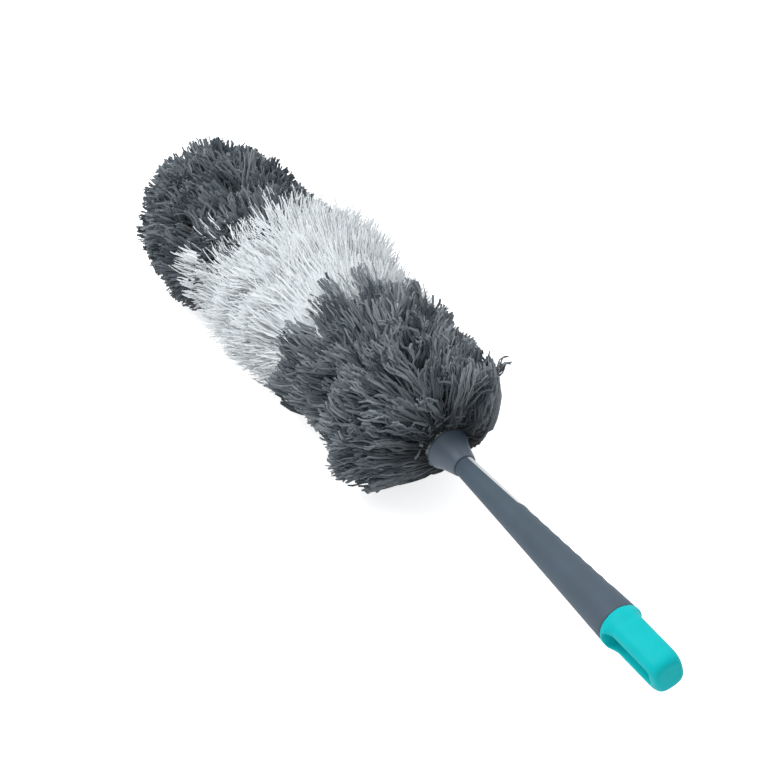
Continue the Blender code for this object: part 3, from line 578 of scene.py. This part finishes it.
# Depths are in metres past the seam, towards the tip. Turns go from +Y towards +Z.
BACKING, BACKING_WALL = 0.0200, 0.0022
BACKING_BORE = BACKING - BACKING_WALL
PILE, LONGEST = 0.0730, 0.074  # steady reach from the axis, longest strand
DOME_ROOT, DOME_RADIUS = 0.412, 0.079
DOME_CENTRE = SEAM_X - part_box("pile_tip")[0][0] - DOME_RADIUS
ROOT_START, HEM_END = 0.0254, 0.0290  # rows before the hem's end are sewn lower
HEM_ROOTS, ROOTS, ROOT_SCATTER = 0.0182, 0.0192, 0.0015
FIRST_SEAM, SECOND_SEAM = 0.139, 0.290
UNDERSIDE = math.radians(304.4)  # the side that lies on the floor
FULL_SIDE = math.radians(34.4)  # where the white yarn stands fullest
BACK_SIDE = math.radians(335)  # away from the camera, where tufts part
FLOOR_GAP, FLOOR_EASE = 0.0016, 0.0030


def yarn_finish(name, dark, light, root, sheen):
    """Split-microfibre yarn: matte, tinted strand by strand, with painted shade darkening it towards
    its root.
    """
    made, tree, shader = finish(name, light, 0.9, ior=1.45, Sheen_Weight=sheen,
                                Sheen_Roughness=0.45)
    shade = node(tree, "ShaderNodeAttribute", {"attribute_name": "shade"})
    along = node(tree, "ShaderNodeAttribute", {"attribute_name": "along"})
    tint = ramp(tree, shade.outputs["Fac"], dark, light)
    # Painted shade: each strand darkens towards the root colour, low in the pile where little light
    # reaches.
    painted_root_shade = ramp(tree, along.outputs["Fac"], root, "#FFFFFF", high=0.75)
    mixed = node(tree, "ShaderNodeMix", {"data_type": "RGBA", "blend_type": "MULTIPLY"},
                 {"Factor": 1.0})
    tree.links.new(tint, mixed.inputs["A"])
    tree.links.new(painted_root_shade, mixed.inputs["B"])
    tree.links.new(mixed.outputs["Result"], shader.inputs["Base Color"])
    where = node(tree, "ShaderNodeTexCoord").outputs["Object"]
    fuzz = node(tree, "ShaderNodeTexNoise", None, {"Scale": 1400.0, "Detail": 2.0},
                {"Vector": where})
    bumped(tree, shader, fuzz.outputs["Fac"], height=0.0004, strength=0.6)
    return made


# The third colour of each is the painted shade at the strands' roots.
yarn_grey = yarn_finish("microfibre_yarn_graphite", "#3A454E", "#8E969B", "#454A50", sheen=0.20)
yarn_white = yarn_finish("microfibre_yarn_white", "#EFF7FA", "#F8FEFF", "#FAFAFA", sheen=0.60)


def unit(vectors):
    """Vectors scaled to length one along their last axis."""
    return vectors / np.maximum(np.linalg.norm(vectors, axis=-1, keepdims=True), 1e-9)


def pile_points(depth, out, turn):
    """World points of the head: depth past the seam, distance out and turn about the axis."""
    return np.stack([SEAM_X - depth, out * np.cos(turn), AXIS_Z + out * np.sin(turn)], axis=-1)


def drift(depth, angle, seed):
    """Slow change from tuft to tuft: seven waves along and round the sleeve, spread one."""
    rng = np.random.default_rng(seed)
    total = np.zeros(np.shape(depth))
    for turns in range(1, 8):
        pitch, phase = rng.uniform(0.040, 0.090), rng.uniform(0, 2 * math.pi)
        total = total + np.sin(2 * math.pi * depth / pitch + turns * angle + phase)
    return total / math.sqrt(3.5)


def spiral(count):
    """Steps of a golden-angle spiral, from a half up, and their turns."""
    i = np.arange(count) + 0.5
    return i, (i * math.radians(137.508)) % (2 * math.pi)


def side_roots(count, low, high):
    """Golden-angle spiral over the cylinder: depth, angle and latitude of each tuft."""
    i, turn = spiral(count)
    return low + (high - low) * i / count, turn, 0 * i


def dome_roots(count):
    """Golden-angle spiral over the half ball past the cylinder, even in its sine."""
    i, turn = spiral(count)
    sine = i / count
    return DOME_ROOT + BACKING * sine, turn, np.arcsin(sine)


def hump(depth, middle, width):
    """A smooth hump of height one at a depth."""
    return np.exp(-((depth - middle) / width) ** 2)


def rise_to(depth, start, end):
    """Smooth step from nought at start to one at end."""
    t = np.clip((depth - start) / (end - start), 0, 1)
    return t * t * (3 - 2 * t)


def side_shares(turn):
    """How far a turn is on the underside, the top, the full side and the thin side."""
    down, full = np.cos(turn - UNDERSIDE), np.cos(turn - FULL_SIDE)
    return (np.clip(down, 0, 1), np.clip(-down, 0, 1),
            np.clip(full, 0, 1) ** 2, np.clip(-full, 0, 1) ** 2)


def pile_radius(depth, turn):
    """How far strands reach from the long axis: uneven, as a much used head is.

    Steady round the top, with its own humps on the full side and opposite it.
    """
    full = (0.0670 + 0.0060 * rise_to(depth, 0.15, 0.19) + 0.0115 * hump(depth, 0.252, 0.068)
            - 0.0060 * rise_to(depth, 0.28, 0.31) - 0.0080 * rise_to(depth, 0.35, 0.43)
            + 0.0070 * hump(depth, 0.402, 0.010))
    thin = (0.0620 + 0.0130 * hump(depth, 0.270, 0.055) + 0.0050 * hump(depth, 0.200, 0.040)
            + 0.0150 * hump(depth, 0.080, 0.014) - 0.0150 * hump(depth, 0.109, 0.011)
            + 0.0120 * rise_to(depth, 0.34, 0.375))
    side = np.cos(turn - FULL_SIDE)
    towards, away = np.clip(side, 0, 1) ** 1.5, np.clip(-side, 0, 1) ** 1.5
    return PILE + towards * (full - PILE) + away * (thin - PILE)


# Turns in degrees, and how many mm each seam between two bands strays towards
# the tip there, as the tufts beside it part and hang over it.
FIRST_STRAY = ((0, 45, 61, 78, 89, 105, 125, 144, 160, 177, 199, 215, 260, 320),
               (-6, -4, -18, -2, 10, -2, -6, -2, -12, -10, 6, 20, 8, 0))
SECOND_STRAY = ((0, 45, 67, 83, 100, 111, 125, 144, 155, 172, 192, 210, 260, 320),
                (0, -8, -12, 12, -20, -36, -28, -6, 18, 27, 17, 24, 12, 0))


def skewed(depth, turn):
    """Depth with the seams between the bands set askew: a hump of shift at each."""
    first = np.interp(np.degrees(turn), *FIRST_STRAY, period=360) * 0.001
    second = np.interp(np.degrees(turn), *SECOND_STRAY, period=360) * 0.001
    return depth + first * hump(depth, FIRST_SEAM, 0.035) + second * hump(depth, SECOND_SEAM, 0.055)


STRAND_PLACES = 1 - (1 - np.linspace(0, 1, 9)) ** 1.4  # closer together near the tip


def lean_ends(habit, row, turn, keep, bend, own):
    """Lean of each strand from the long axis, at its root and at its tip.

    The habit's leans, changed near the bell and on the full side, lowered at the
    first seam on the thin side, and by the share keep towards the dome's top.
    Then the tuft's bend and the strand's own stray.
    """
    under, facing, full, thin = side_shares(turn)
    neck = np.exp(-np.clip(row - 0.030, 0, 1) / 0.026)
    flop = thin * hump(row, FIRST_SEAM, 0.030)
    root = (np.radians(habit["steep"]) + neck * np.radians(10 + 14 * facing - 34 * under)
            + neck * full * np.radians(48) - flop * np.radians(20))
    tip = (np.radians(habit["flat"]) + neck * np.radians(22 + 14 * facing - 34 * under)
           - neck * full * np.radians(20) - flop * np.radians(28))
    root = (root + full * np.radians(8)) * keep ** 0.9
    tip = (tip + full * np.radians(22) - thin * np.radians(6)) * keep ** 1.2
    root = root + bend + np.radians(4 + 10 * neck * facing) * own[:, 0]
    return root, tip + 1.6 * bend + np.radians(habit["spread"]) * own[:, 1]


def unit_path(root_lean, tip_lean, sideways, ease):
    """Way along, out and aside to each place of a strand of length one.

    The lean goes from root to tip as the place to the power ease, and the
    sideways turn grows evenly. Each step takes the mean of its two ends.
    """
    s = STRAND_PLACES[None, :]
    lean = root_lean[:, None] + (tip_lean - root_lean)[:, None] * s ** ease
    aside = sideways[:, None] * (0.3 + 1.0 * s)
    lean, aside = 0.5 * (lean[:, 1:] + lean[:, :-1]), 0.5 * (aside[:, 1:] + aside[:, :-1])
    steps = np.stack([np.cos(lean), np.sin(lean) * np.cos(aside),
                      np.sin(lean) * np.sin(aside)]) * np.diff(s)
    return np.concatenate([np.zeros((3, len(lean), 1)), np.cumsum(steps, axis=2)], axis=2)


def full_length(depth, turn, radius, along, rise):
    """Length that takes a tip to the pile's radius, or to the ball that ends it.

    Here along and rise are the tip's way at length one.
    """
    length = 0.060 + 0 * depth
    for _ in range(3):
        length = (pile_radius(depth + length * along, turn) - radius) / np.maximum(rise, 0.05)
    ball = 0.0690 - 0.0012 * np.cos(turn - FULL_SIDE)
    q = depth - DOME_CENTRE
    a = rise ** 2 + along ** 2
    b = radius * rise + q * along
    c = radius * radius + q * q - ball ** 2
    to_ball = (-b + np.sqrt(np.maximum(b * b - a * c, 0))) / a
    beyond = depth + length * along > DOME_CENTRE
    return np.minimum(np.where(beyond, np.minimum(length, to_ball), length), LONGEST)


def curls(count, wave, wild, rng):
    """Waves across each strand, outwards and sideways, that grow along it."""
    s = STRAND_PLACES[None, None, :]
    phase = rng.uniform(0, 2 * math.pi, (count, 2, 1))
    rate = rng.uniform(1.0, 2.4, (count, 2, 1)) * 2 * math.pi
    size = rng.uniform(0.4, 1.6, (count, 1)) * wave * (1 + 1.8 * wild[:, None])
    curl = np.sin(phase + rate * s) * s ** 0.7 * size[:, None]
    return curl + rng.normal(0, 0.35 * wave, curl.shape) * s ** 0.5


def clear_of_bell(depth, out, turn, facing, own):
    """Depth, held past a cone round the bell, whose slope changes round the head.

    On the full side the cone has a square of the distance out as well.
    """
    under, _, full, _ = side_shares(turn)
    slope = 0.22 - 0.34 * np.cos(turn - FULL_SIDE) + 0.58 * full + 1.0 * under - 0.5 * facing
    over = out - BACKING
    least = (0.0262 - 0.0168 * full + over * (slope + 0.095) + (0.0010 + 0.05 * over) * own
             + full * (9.7 * over ** 2 - 0.32 * over))
    return np.where(depth < least, least + 0.05 * (depth - least), depth)


def strand_paths(roots, members, habit, band, rng):
    """Centre lines of strands, (strands, steps, 3), and the tuft that each is in.

    Strands of a tuft share its stray and add their own, and draw together towards
    the tip by the share lock. The first rows of a band are short, tucked under the
    long last rows before it.
    """
    depth, angle, latitude = roots
    tufts = len(depth)
    stray = rng.normal(0, 1, (tufts, 4)) * habit["stray"]
    who = np.repeat(np.arange(tufts), members)
    count = len(who)
    own = rng.standard_t(5, (count, 4)).clip(-3.2, 3.2)
    shift = rng.normal(0, ROOT_SCATTER, (count, 2))
    lat = latitude[who]
    row = np.maximum(depth[who] + shift[:, 0] * np.cos(lat), ROOT_START)
    radius = np.where(row < HEM_END, HEM_ROOTS, ROOTS) * np.cos(lat)
    th = angle[who] + shift[:, 1] / np.maximum(radius, 0.006)
    start = skewed(row, th)
    keep = 1 - lat / (math.pi / 2)

    bend = np.radians(5) * stray[who, 0] + np.radians(8) * drift(depth, angle, 5)[who] * keep
    root_lean, tip_lean = lean_ends(habit, row, th, keep, bend, own)
    sideways = np.radians(9) * stray[who, 1] + np.radians(16) * drift(depth, angle, 6)[who]
    wild = rng.random(count) < 0.035
    sideways = sideways + wild * rng.normal(0, np.radians(40), count)
    sideways = sideways + np.radians(habit["spread"]) * own[:, 2]
    along, rise, slide = unit_path(root_lean, tip_lean, sideways, 0.8)

    _, facing, _, thin = side_shares(th)
    tucked = (0.20 + 0.38 * thin) * hump(row, band["first"], 0.020 + 0.006 * thin)
    length = (full_length(start, th, radius, along[:, -1], rise[:, -1])
              * (1 + habit["loose"] * (0.8 * stray[who, 2] + 0.8 * own[:, 3]).clip(-3.0, 1.7))
              * (1 + 0.035 * drift(depth, angle, 7)[who] * keep)
              * (1 - tucked + 0.06 * hump(row, band["last"], 0.014)))[:, None]

    curl = curls(count, habit["wave"], wild, rng)
    out = radius[:, None] + length * rise + curl[:, 0]
    turn = th[:, None] + (length * slide + curl[:, 1]) / np.maximum(out, 0.016)
    x = clear_of_bell(start[:, None] + length * along, out, turn, facing[:, None], own[:, :1])
    path = pile_points(x, out, turn)
    bunch = path.reshape(tufts, members, -1, 3)
    heart = bunch.mean(axis=1, keepdims=True)
    bunch = heart + (bunch - heart) * (1 - habit["lock"] * STRAND_PLACES[:, None])
    return bunch.reshape(path.shape), who


def settle(path):
    """Ease heights towards a small gap above the floor, where strands would sink in it."""
    path = path.copy()
    over = (path[..., 2] - FLOOR_GAP) / FLOOR_EASE
    path[..., 2] = FLOOR_GAP + FLOOR_EASE * np.logaddexp(0, over)
    return path


def strand_mesh(name, path, half_width, half_depth, shade, blunt, soft, rng):
    """Three-sided tubes along paths, their flat section twisting with the length.

    Their normals turn by the share soft from the strand's own towards straight
    out of the pile, so that yarn which lies together shades as one soft mass.
    That way out is taken from a line 35 mm below the axis, as light seeps down
    into real yarn from above.
    """
    count, steps = path.shape[:2]
    tangent = unit(np.gradient(path, axis=1))
    middle = unit(path[:, -1] - path[:, 0])
    any_way = rng.normal(0, 1, (count, 3))
    across = unit(any_way - (any_way * middle).sum(-1, keepdims=True) * middle)
    across = across[:, None, :]
    side = unit(across - (across * tangent).sum(-1, keepdims=True) * tangent)
    third = np.cross(tangent, side)
    s = STRAND_PLACES
    girth = np.interp(s, [0, 0.25, 0.8, 0.93, 1.0], [0.55, 0.9, 1.0, 0.5 + 0.5 * blunt, blunt])
    girth = girth * rng.uniform(0.75, 1.25, (count, steps))
    spin = rng.uniform(-2.2, 2.2, (count, 1)) * s[None, :]
    corners = []
    for turn, scale in ((0, 1.0), (2.3, 0.9), (-2.3, 0.9)):
        a = spin + turn
        x = (np.cos(a) * half_width[:, None] * scale * girth)[..., None]
        y = (np.sin(a) * half_depth[:, None] * scale * girth)[..., None]
        corners.append(path + side * x + third * y)
    points = np.stack(corners, axis=2)
    base = np.arange(count)[:, None, None] * steps * 3
    i = np.arange(steps - 1)[None, :, None] * 3
    j = np.arange(3)[None, None, :]
    k = (j + 1) % 3
    quads = np.stack([base + i + j, base + i + k, base + i + 3 + k, base + i + 3 + j], axis=-1)
    root = base[:, 0] + np.array([0, 2, 1])[None, :]
    tip = base[:, 0] + (steps - 1) * 3 + np.array([0, 1, 2])[None, :]
    mesh = mesh_from(name, points.reshape(-1, 3), quads.reshape(-1, 4),
                     np.concatenate([tip, root]))
    painted(mesh, np.repeat(shade, steps * 3), np.tile(np.repeat(s, 3), count))
    x = points[..., 0]
    below = np.stack([np.maximum(x, SEAM_X - DOME_CENTRE), 0 * x, AXIS_Z - 0.035 + 0 * x], axis=-1)
    own, outward = unit(points - path[:, :, None, :]), unit(points - below)
    mesh.normals_split_custom_set_from_vertices(
        unit((1 - soft) * own + soft * outward).reshape(-1, 3).tolist())
    return mesh


def painted(mesh, shade, along):
    """Give a mesh's points their strand tint and their place along the strand, which sets how much
    painted shade darkens them towards the root.
    """
    for key, values in (("shade", shade), ("along", along)):
        layer = mesh.attributes.new(key, "FLOAT", "POINT")
        values = np.broadcast_to(values, len(mesh.vertices))
        layer.data.foreach_set("value", values.astype(np.float32))


def yarn_piece(name, roots, members, size, seed, node_name, habit, band, blunt, soft, made, slot):
    """One piece of the yarn head, from the places of its tufts."""
    rng = np.random.default_rng(seed)
    path, who = strand_paths(roots, members, habit, band, rng)
    path = settle(path)
    count = len(path)
    width = size * rng.uniform(0.7, 1.3, count)
    shade = np.clip(band["tint"] + 0.25 * rng.normal(0, 1, len(roots[0]))[who]
                    + 0.22 * rng.normal(0, 1, count), 0, 1)
    mesh = strand_mesh(name, path, width, width * 0.42, shade, blunt, soft, rng)
    piece(mesh, made, "pole", node_name)


def yarn_band(name, count, start, length, tufts, seed, **kind):
    """Pieces of a band of yarn, one after the other towards the tip."""
    for k in range(count):
        low = start + length * k
        yarn_piece(f"{name}_{k + 1}", side_roots(tufts, low, low + length), seed=seed + k, **kind)


def backing_piece(name, node_name, low, high, made, domed=False):
    """Knitted sleeve under the strands, closed over the tip where it is domed."""
    outline = [(-low, BACKING), (-high, BACKING)]
    if domed:
        a = np.linspace(0, math.pi / 2, 12)[1:]
        top, pinhole = -high - BACKING, 0.00002
        outline += [(-high - BACKING * math.sin(t), BACKING * math.cos(t)) for t in a[:-1]]
        outline += [(top, pinhole), (top + BACKING_WALL, pinhole)]
        outline += [(-high - BACKING_BORE * math.sin(t), BACKING_BORE * math.cos(t))
                    for t in a[::-1][1:]]
    outline += [(-high, BACKING_BORE), (-low, BACKING_BORE)]
    mesh = clean(mesh_from(name, *ring_profile(outline, 48)))
    # Root colour in full: painted shade, as the sleeve lies deepest under the strands.
    painted(mesh, 0.3, 0.0)
    sleeve = piece(mesh, made, "pole", node_name)
    middle = 0.5 * (BACKING + BACKING_BORE)
    width, length, closed_end = 2 * math.pi * middle, high - low, 0.0
    if domed:  # gathered over a half ball, a quarter turn longer
        length, closed_end = length + 0.5 * math.pi * middle, 2 * math.pi * middle ** 2


def matted_hull(name, low, high, share, lean):
    """Matted inner pile: a hull at a share of the pile's radius, ends slanting as strands do.

    It lies deeper at the back, where tufts stand apart, and under the short first
    rows opposite the full side, and is furrowed along the strands. Its tint is a
    little darker: painted shade for the shadow that strands cast on each other.
    """
    rows, columns, streak_rows = 84, 240, 12
    i, j = np.meshgrid(np.linspace(0, 1, rows), np.linspace(0, 2 * math.pi, columns, endpoint=False),
                       indexing="ij")
    inner = BACKING + 0.0005
    depth = skewed(low + (high - low) * i, j)
    crown = share - 0.20 * (1 - i) ** 5 - 0.30 * i ** 4
    crown = crown - 0.16 * np.clip(0.20 + 1.1 * np.cos(j - BACK_SIDE), 0, 1)
    crown = crown - 0.32 * (1 - i) ** 3 * np.clip(-np.cos(j - FULL_SIDE), 0, 1) ** 1.5
    streaks = np.random.default_rng(40).normal(0, 1, (streak_rows, columns))
    at = (streak_rows - 1.001) * i[:, :1]
    before = at.astype(int)[:, 0]
    crown = crown * (1 + 0.011 * (streaks[before] * (1 - at % 1) + streaks[before + 1] * (at % 1)))
    rounded_ends = np.minimum(1, np.minimum(i, 1 - i) * 60)
    radius = inner + (crown * pile_radius(depth + 0.02, j) - inner) * rounded_ends
    depth = depth + (radius - inner) * lean
    outer, core = pile_points(depth, radius, j), pile_points(depth, inner, j)
    outer[..., 2] = np.maximum(outer[..., 2], 0.0030)
    mesh = clean(mesh_from(name, *tube_shell(outer, core[[0, -1]])), 80.0)
    # Painted shade: a darker tint and part of the root shade, standing in for the shadow strands
    # cast on one another.
    painted(mesh, 0.2, 0.4)
    return mesh


# A habit has the lean at the root and at the tip in degrees, the looseness of
# length, the wave in metres, the spread within a tuft in degrees, how far tufts
# stray, and how far they draw together. A band has its first and last row and
# its mean tint. A row at -1 or 9 is none, for an end that no seam borders.
BASE = dict(
    node_name="pile_base", made=yarn_grey, slot="yarn_grey", blunt=0.85, soft=0.35,
    habit=dict(steep=78, flat=42, loose=0.09, wave=0.0029, spread=6, stray=1.7, lock=0.50),
    band=dict(first=-1.0, last=0.1385, tint=0.5))
MIDDLE = dict(
    node_name="pile_middle", made=yarn_white, slot="yarn_white", blunt=0.6, soft=0.95,
    habit=dict(steep=74, flat=34, loose=0.08, wave=0.0010, spread=8, stray=1.4, lock=0.25),
    band=dict(first=0.1395, last=0.2920, tint=0.65))
TIP = dict(
    node_name="pile_tip", made=yarn_grey, slot="yarn_grey", blunt=0.95, soft=0.35,
    habit=dict(steep=82, flat=60, loose=0.07, wave=0.0018, spread=6, stray=1.6, lock=0.40),
    band=dict(first=0.2930, last=9.0, tint=0.30))

turn = np.radians(np.arange(180, 520, 7.0))  # first row, open for the hem at 158
first_row = (np.full(len(turn), 0.0262), turn, 0 * turn)
yarn_piece("yarn_first_row", first_row, members=9, size=0.00140, seed=10, **BASE)
yarn_band("yarn_base", 2, 0.0280, 0.0553, tufts=244, members=16, size=0.00150, seed=11, **BASE)
yarn_band("yarn_middle", 4, 0.1395, 0.0382, tufts=150, members=26, size=0.00070, seed=20, **MIDDLE)
yarn_band("yarn_tip", 2, 0.2930, 0.0595, tufts=244, members=16, size=0.00140, seed=16, **TIP)
yarn_piece("yarn_tip_dome", dome_roots(240), members=16, size=0.00140, seed=18, **TIP)
hull = matted_hull("matted_middle", low=0.1400, high=0.2910, share=0.885, lean=0.60)
piece(hull, yarn_white, "pole", "pile_middle")
backing_piece("backing_base", "pile_base", 0.0300, 0.1420, yarn_grey)
backing_piece("backing_middle", "pile_middle", 0.1423, 0.3067, yarn_white)
backing_piece("backing_tip", "pile_tip", 0.3070, DOME_ROOT, yarn_grey, domed=True)

# Loose ends of the first row, curling over the bell's rim and the hem. The first
# few of them are flung out on the full side.
ENDS, FLUNG, FLUNG_OUT = 60, 7, 0.043
rng = np.random.default_rng(31)
angle = UNDERSIDE + math.pi + rng.uniform(-1.2, 0.3, ENDS)
angle[:FLUNG] = FULL_SIDE + rng.uniform(-0.12, 0.10, FLUNG)
start_lean = np.radians(rng.uniform(60, 120, ENDS))
end_lean = start_lean + np.radians(rng.uniform(-50, 60, ENDS))
start_lean[:FLUNG], end_lean[:FLUNG] = math.radians(60), np.linspace(1.6, 2.5, FLUNG)
reach = rng.uniform(0.010, 0.026, ENDS)[:, None]
run, rise, _ = unit_path(start_lean, end_lean, 0 * start_lean, 1.0)
x = rng.uniform(0.0265, 0.0300, ENDS)
x[:FLUNG] = rng.uniform(0.040, 0.046, FLUNG)
out = 0.0190 + FLUNG_OUT * (np.arange(ENDS) < FLUNG)[:, None] + reach * rise
s = STRAND_PLACES[None, :]
turn = angle[:, None] + (rng.normal(0, 0.35, (ENDS, 1)) * s
                         + 0.12 * np.sin(9 * s + angle[:, None])) * 0.0190 / out
width = 0.0013 * rng.uniform(0.7, 1.3, ENDS)
mesh = strand_mesh("yarn_loose_ends", pile_points(x[:, None] + reach * run, out, turn), width,
                   width * 0.5, rng.uniform(0, 1, ENDS), 0.7, 0.35, rng)
piece(mesh, yarn_grey, "pole", "pile_base")


# Studio
# Pale floor under even, soft light, and the camera where the photograph's was.

FLOOR_HALF, FLOOR_GLOW = 6, 0.75


def seen_directly(tree):
    """One for rays from the camera, off a shine or through glass, and nought for others."""
    rays = node(tree, "ShaderNodeLightPath").outputs
    seen = node(tree, "ShaderNodeMath", {"operation": "MAXIMUM"}, None,
                {0: rays["Is Camera Ray"], 1: rays["Is Glossy Ray"]})
    through = node(tree, "ShaderNodeMath", {"operation": "MAXIMUM"}, None,
                   {0: seen.outputs["Value"], 1: rays["Is Transmission Ray"]})
    return through.outputs["Value"]


floor_finish, tree, shader = finish("studio_floor", "#DEDFE0", 0.7)
glow = node(tree, "ShaderNodeMath", {"operation": "MULTIPLY"}, {1: FLOOR_GLOW},
            {0: seen_directly(tree)})
shader.inputs["Emission Color"].default_value = (1.0, 1.0, 1.0, 1.0)
tree.links.new(glow.outputs["Value"], shader.inputs["Emission Strength"])
corners = FLOOR_HALF * np.array([(-1, -1, 0), (1, -1, 0), (1, 1, 0), (-1, 1, 0)])
mesh = mesh_from("studio_floor", corners, np.array([[0, 1, 2, 3]]))
mesh.materials.append(floor_finish)
floor = bpy.data.objects.new("studio_floor", mesh)
bpy.context.scene.collection.objects.link(floor)

world = bpy.data.worlds.new("studio")
bpy.context.scene.world = world
world.use_nodes = True
tree = world.node_tree
plain = tree.nodes["Background"]
plain.inputs["Color"].default_value = (0.93, 0.96, 1.0, 1.0)
plain.inputs["Strength"].default_value = 0.56
white = node(tree, "ShaderNodeBackground", None, {"Color": (1, 1, 1, 1), "Strength": 1.0})
chosen = node(tree, "ShaderNodeMixShader", None, None,
              {"Fac": seen_directly(tree), 1: plain.outputs["Background"],
               2: white.outputs["Background"]})
tree.links.new(chosen.outputs["Shader"], tree.nodes["World Output"].inputs["Surface"])


def lamp(name, at, aim, size, watts):
    """Square area lamp at a point, turned to face another."""
    light = bpy.data.lights.new(name, "AREA")
    light.size, light.energy = size, watts
    thing = bpy.data.objects.new(name, light)
    bpy.context.scene.collection.objects.link(thing)
    thing.location = at
    thing.rotation_euler = (Vector(aim) - Vector(at)).to_track_quat("-Z", "Y").to_euler()


lamp("key", (-0.6, -1.0, 2.1), (0.0, 0.0, 0.06), size=1.8, watts=34)
lamp("fill", (-0.4, 1.5, 1.7), (0.0, 0.0, 0.06), size=1.6, watts=9)

# The camera's own axes, and where it stands from the seam along them in metres.
RIGHT, UPWARD = Vector((0.4967, 0.8679, 0.0)), Vector((-0.5092, 0.2914, 0.8098))
TOWARDS = Vector((0.7028, -0.4022, 0.5868))
FROM_SEAM = (-0.06208, 0.06280, 1.68598)
FOCAL, FRAME, SENSOR = 2200.0, 768, 36.0  # in pixels, in pixels, in mm

camera_data = bpy.data.cameras.new("camera")
camera_data.sensor_width = SENSOR
camera_data.lens = FOCAL / FRAME * SENSOR
camera_data.clip_start = 0.05
camera = bpy.data.objects.new("camera", camera_data)
bpy.context.scene.collection.objects.link(camera)
turned = Matrix((RIGHT, UPWARD, TOWARDS)).transposed().to_4x4()
turned.translation = (Vector((SEAM_X, 0.0, AXIS_Z)) + FROM_SEAM[0] * RIGHT
                      + FROM_SEAM[1] * UPWARD + FROM_SEAM[2] * TOWARDS)
camera.matrix_world = turned
bpy.context.scene.camera = camera
bpy.context.scene.view_settings.view_transform = "Standard"
